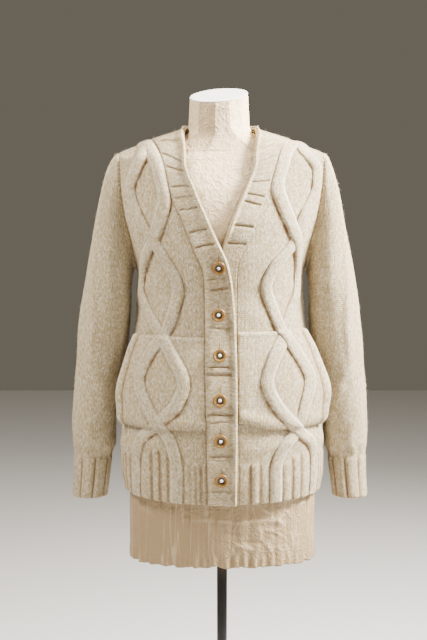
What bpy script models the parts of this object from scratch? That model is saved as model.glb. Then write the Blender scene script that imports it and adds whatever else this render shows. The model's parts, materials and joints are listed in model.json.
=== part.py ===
"""Boyfriend cardigan in cream wool with traditional cables, worn on a limbless
paper-covered dress form on a black pole stand.

Metres, Z up, the floor at z = 0. The front faces -Y and the wearer's right is -X.
Every cloth piece is a wall: a plain inside, and an outside raised in cables and ribs.
"""

import math

import bmesh
import bpy
import numpy as np

# ---- driving sizes, metres ----------------------------------------------------------
WALL = 0.004            # thickness of the plain wool fabric
ROPE_WIDTH = 0.024      # one cable strand
ROPE_RISE = 0.0050      # cable strand above the fabric
RIB_RISE = 0.0032       # rib above its groove
BAND_THICK = 0.0055     # neck and button band
SEAM_GAP = 0.0004       # between pieces that are sewn together
ARM_GAP = 0.0010        # round the armholes
FORM_GAP = 0.0050       # cloth to dress form
FORM_DROP = 0.006       # and at the shoulders, where the cloth bends most
FORM_SHOULDER = 0.178
BUTTON_RADIUS = 0.0125
BUTTON_THICK = 0.0050
POLE_RADIUS = 0.0098
STAND_X = 0.0040        # the form and pole stand a little to the wearer's left
BASE_RADIUS = 0.180
BASE_THICK = 0.012
HEM_Z = 0.6275
RIB_TOP_Z = 0.700
ARMPIT_Z = 1.046
CHART_Z = 1.200         # above this height the chart follows the shoulder, not level rings

# ---- inside of the cloth, level rings: how far it reaches left, front and back -------
RINGS = dict(
    z=(0.610, 0.630, 0.665, 0.702, 0.760, 0.820, 0.886, 0.940, 0.990, 1.034, 1.080, 1.130,
       1.180, 1.220, 1.250, 1.261, 1.285, 1.312, 1.345),
    half_width=(0.1800, 0.1810, 0.1865, 0.1875, 0.1865, 0.1800, 0.1690, 0.1575, 0.1530, 0.1520,
                0.1620, 0.1780, 0.1930, 0.2050, 0.2120, 0.1894, 0.1285, 0.0600, 0.0560),
    front=(0.1300, 0.1310, 0.1350, 0.1360, 0.1365, 0.1330, 0.1260, 0.1190, 0.1180, 0.1230,
           0.1290, 0.1300, 0.1210, 0.1060, 0.0900, 0.0835, 0.0700, 0.0590, 0.0550),
    back=(0.1210, 0.1220, 0.1240, 0.1250, 0.1250, 0.1220, 0.1150, 0.1070, 0.1020, 0.1030,
          0.1060, 0.1090, 0.1090, 0.1040, 0.0980, 0.0935, 0.0810, 0.0640, 0.0590),
    shift=(0.0045, 0.0045, 0.0045, 0.0040, 0.0030, 0.0020, 0.0010, 0.0005, 0.0000, 0.0005,
           0.0010, 0.0015, 0.0020, 0.0025, 0.0025, 0.0020, 0.0010, 0.0000, 0.0000),
)
SQUARENESS = 2.25       # superellipse power of every level ring
RIDGE_IN = 0.130        # where the shoulder seam starts, at the neck band
RIDGE_OUT = 0.190       # where it ends, at the sleeve
NECK_SPANS = 10         # of the back panel's columns, from its middle to the shoulder seam

# ---- front panels: seam to the band, armhole, and the two cable strands --------------
SEAM_RIGHT = dict(z=(0.600, 1.010, 1.050, 1.080, 1.130, 1.186, 1.227),
                  reach=(0.0285, 0.0285, 0.0320, 0.0455, 0.0655, 0.0905, 0.1020))
SEAM_LEFT = dict(z=(0.600, 1.030, 1.067, 1.086, 1.137, 1.178, 1.227),
                 reach=(0.0300, 0.0300, 0.0325, 0.0423, 0.0641, 0.0790, 0.0960))
ARMHOLE = dict(z=(1.046, 1.080, 1.108, 1.140, 1.200, 1.245, 1.262),
               reach=(0.1530, 0.1600, 0.1650, 0.1735, 0.1835, 0.1885, 0.1900))
CABLE_RIGHT = dict(z=(0.600, 0.700, 0.733, 0.761, 0.800, 0.844, 0.890, 0.924, 0.960, 1.018,
                      1.070, 1.106, 1.146, 1.197, 1.235, 1.270, 1.300),
                   centre=(0.1330, 0.1330, 0.1240, 0.1172, 0.1190, 0.1196, 0.1165, 0.1107, 0.1180,
                           0.1263, 0.1290, 0.1292, 0.1350, 0.1400, 0.1370, 0.1320, 0.1320),
                   apart=(0.0450, 0.0450, 0.0300, 0.0000, 0.0330, 0.0502, 0.0330, 0.0000, 0.0270,
                          0.0481, 0.0250, 0.0000, 0.0220, 0.0364, 0.0250, 0.0060, 0.0140))
CABLE_LEFT = dict(z=(0.600, 0.690, 0.725, 0.753, 0.800, 0.844, 0.885, 0.927, 0.970, 1.022,
                     1.066, 1.100, 1.146, 1.200, 1.240, 1.270, 1.300),
                  centre=(0.1430, 0.1430, 0.1460, 0.1480, 0.1390, 0.1368, 0.1280, 0.1130, 0.1150,
                          0.1234, 0.1330, 0.1384, 0.1410, 0.1443, 0.1390, 0.1320, 0.1320),
                  apart=(0.0390, 0.0390, 0.0240, 0.0000, 0.0340, 0.0505, 0.0330, 0.0000, 0.0200,
                         0.0389, 0.0250, 0.0000, 0.0220, 0.0400, 0.0270, 0.0060, 0.0140))

# ---- pockets: patches over the third ogee, open at the side --------------------------
POCKET_RIGHT = dict(top=0.9260, bottom=0.7600, puff=0.0110)
POCKET_LEFT = dict(top=0.9360, bottom=0.7600, puff=0.0180)
POCKET_WALL = 0.0035
POCKET_SIDE = 0.045     # from its open edge to the side seam
POCKET_GAP = 0.0013

# ---- sleeves: outer and inner line of the tube as the front view shows them ----------
SLEEVE = dict(
    outer_x=(0.2130, 0.2250, 0.2345, 0.2440, 0.2527, 0.2605, 0.2665, 0.2715, 0.2750,
             0.2785, 0.2815, 0.2830, 0.2825, 0.2790, 0.2788, 0.2788, 0.2794, 0.2806, 0.2822),
    outer_z=(1.2320, 1.1840, 1.1400, 1.0930, 1.0530, 1.0050, 0.9620, 0.9150, 0.8700,
             0.8250, 0.7850, 0.7450, 0.7150, 0.6960, 0.6880, 0.6680, 0.6480, 0.6280, 0.6080),
    inner_x=(0.1640, 0.1662, 0.1675, 0.1680, 0.1690, 0.1715, 0.1755, 0.1810, 0.1870,
             0.1925, 0.1965, 0.1980, 0.1990, 0.2065, 0.2085, 0.2110, 0.2135, 0.2162, 0.2190),
    inner_z=(1.0360, 1.0180, 0.9980, 0.9750, 0.9500, 0.9250, 0.9000, 0.8700, 0.8380,
             0.8050, 0.7750, 0.7420, 0.7130, 0.6950, 0.6870, 0.6680, 0.6480, 0.6280, 0.6080),
    depth=(0.0640, 0.0660, 0.0640, 0.0620, 0.0600, 0.0590, 0.0580, 0.0560, 0.0540,
           0.0520, 0.0500, 0.0470, 0.0440, 0.0375, 0.0355, 0.0350, 0.0352, 0.0360, 0.0370),
    middle_y=(0.0020, 0.0030, 0.0040, 0.0060, 0.0080, 0.0100, 0.0120, 0.0150, 0.0170,
              0.0190, 0.0200, 0.0200, 0.0200, 0.0190, 0.0190, 0.0190, 0.0185, 0.0180, 0.0180),
)
CUFF_STATION = 14       # the ribbed cuff starts here

# ---- bands: inner edge up the front, then round the neck -----------------------------
INNER_RIGHT = dict(      # at: height on the band's seam that each row lies across from
    at=(0.600, 0.800, 0.950, 1.015, 1.050, 1.081, 1.130, 1.186, 1.227, 1.258),
    z=(0.600, 0.800, 0.950, 1.020, 1.063, 1.098, 1.147, 1.200, 1.2365, 1.262),
    x=(0.0293, 0.0293, 0.0273, 0.0218, 0.0143, -0.0012, -0.0237, -0.0462, -0.0590, -0.0675))
INNER_LEFT = dict(
    at=(0.600, 0.800, 0.950, 1.010, 1.050, 1.086, 1.137, 1.178, 1.227, 1.258),
    z=(0.600, 0.800, 0.950, 1.015, 1.063, 1.101, 1.158, 1.200, 1.2365, 1.264),
    x=(-0.0105, -0.0105, -0.0105, -0.0105, -0.0065, 0.0053, 0.0268, 0.0437, 0.0562, 0.0635))
BAND_GAP = 0.0021  # under the front bands, so that a coarse panel clears them
BAND_ROLL = 0.0012      # its thick free edge
UNDER_THICK = 0.0040    # the button band where the buttonhole band covers it
LAP_TOP_Z = 1.085       # the bands part above this height
BAND_PERIOD = 0.088     # one wide and one narrow rib, above the top button
NARROW_SHARE = 0.34     # the narrow rib's share of each repeat
GROOVE = 0.0045
NECK_INNER = (0.0660, 0.0700)   # plan half-axes of the band's inner edge round the neck
NECK_OUTER = (0.1300, 0.0960)   # and of its outer edge
NECK_TILT = math.radians(17)    # the form's neck cap leans forward
NECK_TOP_Z = 1.372
FORM_BOTTOM_Z = 0.498
BUTTONS = dict(z=(1.0577, 0.9697, 0.8949, 0.8132, 0.7401, 0.6677),
               x=(-0.0029, -0.0032, -0.0007, -0.0004, 0.0009, 0.0022))


# ---- curves through the tables --------------------------------------------------------
def smooth(xs, ys, x):
    """Monotone cubic through a table, so nothing overshoots between its rows."""
    xs, ys, x = (np.asarray(v, float) for v in (xs, ys, x))
    step = np.diff(xs)
    rise = np.diff(ys) / step
    slope = np.empty_like(ys)
    slope[0], slope[-1] = rise[0], rise[-1]
    same = rise[:-1] * rise[1:] > 0
    w1, w2 = 2 * step[1:] + step[:-1], step[1:] + 2 * step[:-1]
    with np.errstate(divide="ignore", invalid="ignore"):
        mean = (w1 + w2) / (w1 / rise[:-1] + w2 / rise[1:])
    slope[1:-1] = np.where(same, mean, 0.0)
    i = np.clip(np.searchsorted(xs, x) - 1, 0, len(xs) - 2)
    t = np.clip((x - xs[i]) / step[i], 0.0, 1.0)
    return ((1 + 2 * t) * (1 - t) ** 2 * ys[i] + t * (1 - t) ** 2 * step[i] * slope[i]
            + t * t * (3 - 2 * t) * ys[i + 1] + t * t * (t - 1) * step[i] * slope[i + 1])


def ring(name, z):
    return smooth(RINGS["z"], RINGS[name], z)


def body_value(p):
    """Below 1 inside the cloth's inner surface, above 1 outside it."""
    x = np.abs(p[..., 0] - ring("shift", p[..., 2])) / ring("half_width", p[..., 2])
    deep = np.where(p[..., 1] < 0, ring("front", p[..., 2]), ring("back", p[..., 2]))
    return x ** SQUARENESS + (np.abs(p[..., 1]) / deep) ** SQUARENESS


def body_normal(p):
    """Outward direction of the body surface, and how fast its value grows that way."""
    h = 2e-4
    grad = np.stack([body_value(p + h * e) - body_value(p - h * e) for e in np.eye(3)], -1)
    grad /= 2 * h
    size = np.linalg.norm(grad, axis=-1, keepdims=True)
    return grad / size, size[..., 0]


def settle(p, lift=0.0):
    """Points moved onto the body surface, then out by lift."""
    p = np.array(p, float)
    for _ in range(5):
        n, size = body_normal(p)
        p = p - n * np.clip((body_value(p) - 1) / size, -0.02, 0.02)[..., None]
    n, _ = body_normal(p)
    return p + n * np.broadcast_to(np.asarray(lift, float), p.shape[:-1])[..., None], n


def ridge_z(x):
    """Height of the shoulder line this far from the middle."""
    zs = np.linspace(1.2505, 1.312, 400)
    return np.interp(-np.abs(x), -ring("half_width", zs), zs)


def level_point(sign, arc, z, face=-1):
    """The point this far round a level ring from the middle of the front (or the back)."""
    t = np.linspace(0, math.pi / 2, 241)
    a, b = ring("half_width", z), ring("front" if face < 0 else "back", z)
    x, y = a * np.sin(t) ** (2 / SQUARENESS), b * np.cos(t) ** (2 / SQUARENESS)
    along = np.concatenate([[0], np.cumsum(np.hypot(np.diff(x), np.diff(y)))])
    arc = np.minimum(arc, along[-1])
    dip = 0.010 * (1 - np.clip(arc / 0.2, 0, 1) ** 2) * (1 - smooth((0.62, 0.80), (0, 1), z))
    return np.stack([sign * np.interp(arc, along, x) + ring("shift", z),
                     face * np.interp(arc, along, y), z - dip * (face < 0)], -1)


def level_arc(reach, z, face=-1):
    """How far round a level ring the point that lies this far out sideways is."""
    a, b = ring("half_width", z), ring("front" if face < 0 else "back", z)
    t = np.linspace(0, math.pi / 2, 241)
    x, y = a * np.sin(t) ** (2 / SQUARENESS), b * np.cos(t) ** (2 / SQUARENESS)
    along = np.concatenate([[0], np.cumsum(np.hypot(np.diff(x), np.diff(y)))])
    return np.interp(reach, x, along)


def side_arc(z, face=-1):
    return level_arc(1.0, z, face)


def shoulder_point(sign, x0, x1, s, face=-1):
    """s runs 0..1 from the chart height at x0 up and over to the shoulder ridge at x1."""
    x = x0 + (x1 - x0) * s
    top = ridge_z(x)
    z = CHART_Z + (top - CHART_Z) * math.sin(s * math.pi / 2)
    a, b = ring("half_width", z), ring("front" if face < 0 else "back", z)
    r = np.clip(x / a, 0, 1)
    if s > 0.999:
        r = 1.0
    y = b * (1 - r ** SQUARENESS) ** (1 / SQUARENESS)
    return np.array([sign * x + ring("shift", z), face * y, z])


# ---- meshes ---------------------------------------------------------------------------
def new_object(name, mesh, colour, rough=0.8):
    obj = bpy.data.objects.new(name, mesh)
    bpy.context.scene.collection.objects.link(obj)
    material = bpy.data.materials.new(name)
    material.use_nodes = True
    shader = material.node_tree.nodes["Principled BSDF"]
    shader.inputs["Base Color"].default_value = (*colour, 1)
    shader.inputs["Roughness"].default_value = rough
    mesh.materials.append(material)
    return obj


def rim(bm, outer, inner, flip):
    """Joins an outer edge line to an inner one with as many spans, or half as many."""
    for j in range(len(inner) - 1):
        i0, i1 = inner[j], inner[j + 1]
        if len(outer) == len(inner):
            faces = ((outer[j], outer[j + 1], i1, i0),)
        else:
            o0, o1, o2 = outer[2 * j:2 * j + 3]
            faces = ((o0, o1, i0), (o1, i1, i0), (o1, o2, i1))
        for face in faces:
            bm.faces.new(face[::-1] if flip else face)


def wall(name, outer, inner, colour, tube=False):
    """A closed cloth wall from its outer points (rows, columns, 3) and its plain inner ones,
    which may have half as many spans. A tube closes on itself across its columns."""
    bm = bmesh.new()
    grids = []
    for grid in (outer, inner):
        grids.append([[bm.verts.new(p) for p in row] for row in grid])
    for verts, back in zip(grids, (False, True)):
        rows, columns = len(verts), len(verts[0])
        for r in range(rows - 1):
            for c in range(columns if tube else columns - 1):
                d = (c + 1) % columns
                quad = (verts[r][c], verts[r][d], verts[r + 1][d], verts[r + 1][c])
                bm.faces.new(quad[::-1] if back else quad)
    o, i = grids
    close = (lambda line: line + line[:1]) if tube else (lambda line: line)
    rim(bm, close(o[0]), close(i[0]), True)
    rim(bm, close(o[-1]), close(i[-1]), False)
    if not tube:
        rim(bm, [row[0] for row in o], [row[0] for row in i], False)
        rim(bm, [row[-1] for row in o], [row[-1] for row in i], True)
    bmesh.ops.recalc_face_normals(bm, faces=bm.faces)
    mesh = bpy.data.meshes.new(name)
    bm.to_mesh(mesh)
    bm.free()
    return new_object(name, mesh, colour)


WOOL = (0.80, 0.74, 0.62)
PAPER = (0.82, 0.70, 0.58)
BLACK = (0.02, 0.02, 0.022)
WOOD = (0.50, 0.33, 0.14)

# rows of the front panels: level heights, then steps over the shoulder
FRONT_Z = (0.6275, 0.6300, 0.6500, 0.6780, 0.6960, 0.7060, 0.7250, 0.7430, 0.7600, 0.7780, 0.8000,
           0.8220, 0.8440, 0.8660, 0.8880, 0.9070, 0.9250, 0.9430, 0.9620, 0.9820, 1.0020, 1.0220,
           1.0460, 1.0620, 1.0810, 1.1040, 1.1270, 1.1500, 1.1750, 1.2000)
SHOULDER_STEPS = (0.15, 0.29, 0.43, 0.57, 0.71, 0.86, 1.0)
ARM_ROW = FRONT_Z.index(ARMPIT_Z)


def cable_lines(cable, z):
    """Centres of the inner and the outer strand, side by side where they cross."""
    centre = smooth(cable["z"], cable["centre"], z)
    apart = np.maximum(smooth(cable["z"], cable["apart"], z), ROPE_WIDTH / 2 + 0.0016)
    return centre - apart, centre + apart


def front_columns(cable, z, first, last):
    """Distances round the ring for each column, and how far each is raised."""
    inner, outer = cable_lines(cable, z)
    half, top = ROPE_WIDTH / 2, ROPE_WIDTH / 2 - 0.0035
    outer = min(outer, last - half - 0.004)
    inner = max(min(inner, outer - ROPE_WIDTH - 0.003), first + half + 0.004)
    ribbed = z < RIB_TOP_Z
    low_side, high_side = outer + half, last
    arcs = [first, first + (inner - half - first) * 0.34, first + (inner - half - first) * 0.67,
            inner - half, inner - top, inner + top, inner + half]
    gap = outer - inner - ROPE_WIDTH
    arcs += [inner + half + gap * f for f in (0.3, 0.5, 0.7)]
    arcs += [outer - half, outer - top, outer + top, outer + half]
    arcs += [low_side + (high_side - low_side) * f for f in (0.5, 0.75)] + [last]
    rise = np.zeros(17)
    rise[[4, 5, 11, 12]] = RIB_RISE + 0.001 if ribbed else ROPE_RISE
    if ribbed:
        rise[[0, 2, 8, 14, 16]] = RIB_RISE
    return np.array(arcs), rise


def front_grid(sign, cable, seam):
    """Base points, outward directions and rises of a front panel, row by row."""
    points, rises = [], []
    for z in FRONT_Z:
        first = level_arc(smooth(seam["z"], seam["reach"], z), z)
        last = side_arc(z) - SEAM_GAP / 2
        if z > ARMPIT_Z:
            last = level_arc(smooth(ARMHOLE["z"], ARMHOLE["reach"], z), z)
        arcs, rise = front_columns(cable, z, first, last)
        points.append(level_point(sign, arcs, z))
        rises.append(rise)
    arcs_top = np.abs(points[-1][:, 0] - ring("shift", CHART_Z))
    first, last = arcs_top[0], arcs_top[-1]
    target = RIDGE_IN + (arcs_top - first) / (last - first) * (RIDGE_OUT - RIDGE_IN)
    for s in SHOULDER_STEPS:
        points.append(np.array([shoulder_point(sign, x0, x1, s)
                                for x0, x1 in zip(arcs_top, target)]))
        rise = rises[len(FRONT_Z) - 1] * 1.0
        rises.append(rise)
    points = np.array(points)
    points[-1, :, 1] = -SEAM_GAP / 2
    _, normals = settle(points)
    return points, normals, np.array(rises)


def build_front(name, sign, cable, seam, pocket):
    points, normals, rises = front_grid(sign, cable, seam)
    under = ((points[:, :, 2] < pocket["top"] + 0.008)
             & (points[:, :, 2] > pocket["bottom"] - 0.012))
    rises = np.where(under, 0.0, rises)
    outer = points + normals * (WALL + rises)[..., None]
    wall(name, outer, points[::2, ::2], WOOL)
    return points, normals


def build_back():
    """The back: plain stockinette over a ribbed hem, side to side."""
    neck = RIDGE_IN / RIDGE_OUT
    turn = np.linspace(0, math.pi / 2, NECK_SPANS + 1)[1:]
    half = np.concatenate([neck * np.sin(turn),
                           np.linspace(neck, 1, 5)[1:]])
    spread = np.concatenate([-half[::-1], [0], half])
    points = []
    for z in FRONT_Z:
        side = side_arc(z, 1) - SEAM_GAP / 2
        if z > ARMPIT_Z:
            side = level_arc(smooth(ARMHOLE["z"], ARMHOLE["reach"], z), z, 1)
        points.append(np.array([level_point(np.sign(f) or 1.0, abs(f) * side, z, 1)
                                for f in spread]))
    reach = points[-1][:, 0] - ring("shift", CHART_Z)
    stop = np.array([back_neck_point(f * RIDGE_OUT) for f in spread])
    for s in SHOULDER_STEPS:
        row = []
        for k, x0 in enumerate(reach):
            sign = np.sign(x0) or 1.0
            x1 = abs(spread[k]) * RIDGE_OUT
            if x1 > RIDGE_IN - 1e-6:
                row.append(shoulder_point(sign, abs(x0), x1, s, 1))
            else:
                start = points[len(FRONT_Z) - 1][k]
                row.append(start + (stop[k] - start) * s)
        points.append(np.array(row))
    points = np.array(points)
    points[len(FRONT_Z):], _ = settle(points[len(FRONT_Z):])
    points[-1, :, 1] = np.where(np.abs(spread) > neck - 1e-6,
                                SEAM_GAP / 2, points[-1, :, 1])
    _, normals = settle(points)
    rises = np.zeros(points.shape[:2])
    rises[:5, ::2] = RIB_RISE
    outer = points + normals * (WALL + rises)[..., None]
    wall("back", outer, points[::2, ::2], WOOL)
    return points, normals


def dome_z(x, y):
    """Height of the shoulder dome over a point of the plan."""
    zs = np.linspace(1.2505, 1.330, 600)
    p = np.stack([np.full_like(zs, x) + ring("shift", zs), np.full_like(zs, y), zs], -1)
    return np.interp(1.0, body_value(p), zs)


def back_neck_point(x):
    """The back panel's neck edge, under the outer edge of the band."""
    share = np.clip(abs(x) / NECK_OUTER[0], 0, 1)
    y = NECK_OUTER[1] * math.sqrt(1 - share ** 2)
    z = dome_z(x, y)
    return np.array([x + ring("shift", z), y, z])


# ---- pockets ---------------------------------------------------------------------------
def build_pocket(name, sign, cable, seam, pocket):
    """A patch with the third ogee on it, sewn down but for its open side edge."""
    rows = []
    for z in np.linspace(pocket["bottom"], pocket["top"], 13):
        first = level_arc(smooth(seam["z"], seam["reach"], z), z) + 0.0012
        last = side_arc(z) - POCKET_SIDE
        arcs, rise = front_columns(cable, z, first, last)
        along = smooth((0.06, last), (0.0, 1.0), arcs) ** 1.3
        up = math.sin(math.pi * (z - pocket["bottom"]) / (pocket["top"] - pocket["bottom"]))
        rows.append((level_point(sign, arcs, z), pocket["puff"] * along * abs(up) ** 0.7, rise))
    points, puffs, rises = (np.array(v) for v in zip(*rows))
    _, normals = settle(points)
    lift = WALL + POCKET_GAP + puffs
    inner = points + normals * lift[..., None]
    outer = points + normals * (lift + POCKET_WALL + rises)[..., None]
    wall(name, outer, inner, WOOL)


# ---- sleeves ---------------------------------------------------------------------------
def grid_normals(grid):
    """Outward directions of a tube grid whose columns run round it."""
    round_it = np.roll(grid, -1, 1) - np.roll(grid, 1, 1)
    down = np.gradient(grid, axis=0)
    n = np.cross(down, round_it)
    n /= np.linalg.norm(n, axis=-1, keepdims=True)
    middle = grid.mean(1, keepdims=True)
    return n * np.sign(((grid - middle) * n).sum(-1).mean())


def build_sleeve(name, sign, front, back):
    """A tube from the armhole's own edge points down to a ribbed cuff."""
    (fp, fn), (bp, bn) = front, back
    side = -1 if sign > 0 else 0
    loop = [(fp[ARM_ROW, -1], fn[ARM_ROW, -1], np.array([0, 0, 1.0]))]
    for r in range(ARM_ROW + 1, len(fp) - 1):
        loop.append((fp[r, -1], fn[r, -1], fp[r, -1] - fp[r, -2]))
    loop.append((fp[-1, -1], fn[-1, -1], np.array([sign, 0, 0.0])))
    inward = 1 if side == 0 else -2
    for r in range(len(bp) - 2, ARM_ROW, -1):
        loop.append((bp[r, side], bn[r, side], bp[r, side] - bp[r, inward]))
    base = np.array([p + d / np.linalg.norm(d) * ARM_GAP for p, _, d in loop])
    facing = np.array([n for _, n, _ in loop])
    base[0, 1] = base[len(loop) // 2, 1] = 0.0
    even = np.arange(len(loop)) * 2 * math.pi / len(loop)
    share = (base[:, 2] - base[0, 2]) / (base[len(loop) // 2, 2] - base[0, 2])
    armhole = np.arccos(np.clip(1 - 2 * share, -1, 1))
    armhole = np.where(even > math.pi, 2 * math.pi - armhole, armhole)
    first = base + facing * WALL
    rings = [first, first * (1, 1.03, 1) + (sign * 0.0055, 0, -0.0015)]
    for k in range(len(SLEEVE["outer_x"])):
        row = {key: SLEEVE[key][k] for key in SLEEVE}
        blend = min((k + 1) / 8, 1.0)
        turn = armhole * (1 - blend) + even * blend
        top = np.array([sign * row["outer_x"], row["middle_y"], row["outer_z"]])
        low = np.array([sign * row["inner_x"], row["middle_y"], row["inner_z"]])
        spot = ((top + low) / 2 - (top - low) / 2 * np.cos(turn)[:, None]
                - np.array([0, row["depth"], 0]) * np.sin(turn)[:, None])
        narrow = max(1 - (k + 1) / 5, 0.0)
        spot[:, 1] += (first[:, 1] - spot[:, 1]) * narrow
        rings.append(spot)
    outer = np.array(rings)
    normals = grid_normals(outer)
    inner = outer - normals * WALL
    inner[0] = base
    outer[CUFF_STATION + 1:, ::2] += normals[CUFF_STATION + 1:, ::2] * RIB_RISE
    rows = [0, 1] + list(range(2, len(outer), 2))
    wall(name, outer, inner[rows][:, ::2], WOOL, tube=True)


# ---- bands -----------------------------------------------------------------------------
def band_stations(total):
    """Distances along the band's seam with the share of the rib height at each."""
    spots = [z - HEM_Z + 0.010 for z in sorted(BUTTONS["z"])]
    while spots[-1] < total:
        spots.append(spots[-1] + BAND_PERIOD)
    edges = [0.0]
    for low, high in zip(spots, spots[1:]):
        middle, half = (low + high) / 2, (high - low) * NARROW_SHARE / 2
        edges += [middle - half, middle + half]
    edges = [e for e in edges if e < total - 0.012] + [total]
    stations = []
    for start, end in zip(edges, edges[1:]):
        first = start if start == 0 else start + GROOVE / 2
        last = end if end == total else end - GROOVE / 2
        if start:
            stations.append((start, 0.0))
        spans = math.ceil((last - first) / 0.026)
        stations += [(first + (last - first) * k / spans, 1.0) for k in range(spans + 1)]
    return stations


def build_band(name, sign, rail, facing, inner_edge, over):
    """A ribbed strip from the hem up the front and round to the middle of the back neck.
    The rail is the edge of the panels that it is sewn to."""
    step = np.linalg.norm(np.diff(rail, axis=0), axis=1)
    along = np.concatenate([[0], np.cumsum(step)])
    rows = len(FRONT_Z) + len(SHOULDER_STEPS)
    anchors = []
    for at, z, x in zip(inner_edge["at"], inner_edge["z"], inner_edge["x"]):
        spot = level_point(1, np.array(0.0), z)
        z = spot[2] if z < 0.8 else z
        anchors.append((np.interp(max(at, HEM_Z - 0.01), rail[:rows, 2], along[:rows]),
                        np.array([x + 0.0, -0.12, z])))
    anchors[0] = (0.0, np.array([inner_edge["x"][0], -0.13, rail[0, 2]]))
    for degrees in (0, 30, 60, 90):
        turn = math.radians(degrees)
        x, y = NECK_INNER[0] * math.cos(turn), NECK_INNER[1] * math.sin(turn)
        reach = along[rows - 1] + (along[-1] - along[rows - 1]) * degrees / 90
        anchors.append((reach, np.array([sign * x, y, dome_z(x, y)])))
    places = np.array([a for a, _ in anchors])
    inner_points, _ = settle(np.array([p for _, p in anchors]))
    across = np.array([0.0, 0.27, 0.62, 1.0])
    grid, thick, edge_normals = [], [], []
    for place, raised in band_stations(along[-1]):
        seam = np.array([np.interp(place, along, rail[:, k]) for k in range(3)])
        edge = np.array([smooth(places, inner_points[:, k], place) for k in range(3)])
        width = np.linalg.norm(edge - seam)
        spots = seam + (edge - seam) * (BAND_GAP / width + across * (1 - BAND_GAP / width))[:, None]
        grid.append(spots)
        edge_normals.append([np.interp(place, along, facing[:, k]) for k in range(3)])
        covered = not over and seam[2] < LAP_TOP_Z + 0.012
        full = UNDER_THICK if covered else BAND_THICK
        low = 0.0 if covered else 0.0022
        roll = 0.0 if covered else BAND_ROLL
        thick.append(full - low * (1 - raised) + np.array([0, 0, 0, roll]))
    grid = np.array(grid)
    grid[-1, :, 0] = sign * SEAM_GAP / 2 + ring("shift", grid[-1, :, 2])
    lift = np.zeros(grid.shape[:2])
    if over:
        fade = 1 - smooth((LAP_TOP_Z, LAP_TOP_Z + 0.045), (0, 1), grid[:, :, 2])
        lift[:, 1:] = (UNDER_THICK + 0.0024) * fade[:, 1:]
    base, normals = settle(grid)
    base[:, 0], normals[:, 0] = grid[:, 0], np.array(edge_normals)
    base[-1, :, 0] = grid[-1, :, 0]
    inner = base + normals * lift[..., None]
    outer = base + normals * (lift + np.array(thick))[..., None]
    wall(name, outer, inner, WOOL)


# ---- buttons, dress form and stand ------------------------------------------------------
def turned(name, profile, steps, colour, rough):
    """A turned solid from (radius, height) points that start and end on the axis."""
    mesh = bpy.data.meshes.new(name)
    profile = profile[::-1]
    mesh.from_pydata([(r, 0, h) for r, h in profile],
                     [(k, k + 1) for k in range(len(profile) - 1)], [])
    obj = new_object(name, mesh, colour, rough)
    screw = obj.modifiers.new("turn", "SCREW")
    screw.axis = "Z"
    screw.steps = screw.render_steps = steps
    screw.use_merge_vertices = True
    screw.merge_threshold = 0.0001
    return obj


def build_button(number, x, z):
    spot, normal = settle(np.array([x, -0.13, z]), UNDER_THICK + BAND_THICK + 0.0039)
    r, t = BUTTON_RADIUS, BUTTON_THICK
    profile = [(0, 0), (r * 0.72, 0), (r * 0.97, t * 0.30), (r, t * 0.62), (r * 0.88, t),
               (r * 0.70, t * 0.92), (r * 0.58, t * 0.58), (0, t * 0.50)]
    obj = turned(f"button_{number}", profile, 16, WOOD, 0.35)
    up = np.array([0, 0, 1.0])
    side = np.cross(up, normal)
    side /= np.linalg.norm(side)
    other = np.cross(normal, side)
    for row in range(3):
        for column, axis in enumerate((side, other, normal)):
            obj.matrix_world[row][column] = axis[row]
    obj.matrix_world.translation = spot


def lofted(name, rings, colour, rough=0.8):
    """A closed solid through rings of equal point counts, flat at both ends."""
    bm = bmesh.new()
    rows = [[bm.verts.new(p) for p in row] for row in rings]
    for low, high in zip(rows, rows[1:]):
        for c in range(len(low)):
            d = (c + 1) % len(low)
            bm.faces.new((low[c], low[d], high[d], high[c]))
    bm.faces.new(rows[0][::-1])
    bm.faces.new(rows[-1])
    bmesh.ops.recalc_face_normals(bm, faces=bm.faces)
    mesh = bpy.data.meshes.new(name)
    bm.to_mesh(mesh)
    bm.free()
    return new_object(name, mesh, colour, rough)


def form_ring(z, tilt=0.0, shrink=FORM_GAP, count=28):
    """One level ring of the dress form, just inside the cloth; tilt leans it forward."""
    t = np.arange(count) * 2 * math.pi / count
    low = min(max(z, 0.610), 1.345)
    if z > 1.2:
        low += FORM_DROP * min((z - 1.2) / 0.03, 1)
    a = min(ring("half_width", low) - shrink, FORM_SHOULDER)
    front, back = ring("front", low) - shrink, ring("back", low) - shrink
    if z < 0.64:
        a = max(a, 0.1770)
    p = 2 / SQUARENESS
    x = a * np.sign(np.sin(t)) * np.abs(np.sin(t)) ** p
    y = -np.sign(np.cos(t)) * np.abs(np.cos(t)) ** p
    y = np.where(y < 0, y * front, y * back)
    return np.stack([x + ring("shift", low), y, z + y * math.tan(tilt)], -1)


def neck_ring(z, tilt, radius=0.0560):
    t = np.arange(28) * 2 * math.pi / 28
    y = -radius * 0.98 * np.cos(t)
    return np.stack([radius * np.sin(t) - 0.0015, y, z + y * math.tan(tilt)], -1)


def build_form():
    heights = (FORM_BOTTOM_Z, 0.560, 0.620, 0.665, 0.712, 0.770, 0.828, 0.886, 0.940, 0.985, 1.030,
               1.075, 1.120, 1.165, 1.205, 1.238, 1.254, 1.266, 1.278, 1.290)
    lofted("form_torso", [form_ring(z) for z in heights], PAPER, 0.75)
    neck = [form_ring(1.2904), form_ring(1.303), neck_ring(1.322, 0, 0.0545)]
    neck += [neck_ring(1.340, NECK_TILT / 2), neck_ring(NECK_TOP_Z - 0.0084, NECK_TILT)]
    lofted("form_neck", neck, PAPER, 0.75)
    lofted("form_cap", [neck_ring(NECK_TOP_Z - 0.0080, NECK_TILT), neck_ring(NECK_TOP_Z, NECK_TILT),
                        neck_ring(NECK_TOP_Z + 0.0015, NECK_TILT, 0.0540)], (0.9, 0.87, 0.82), 0.7)


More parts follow.
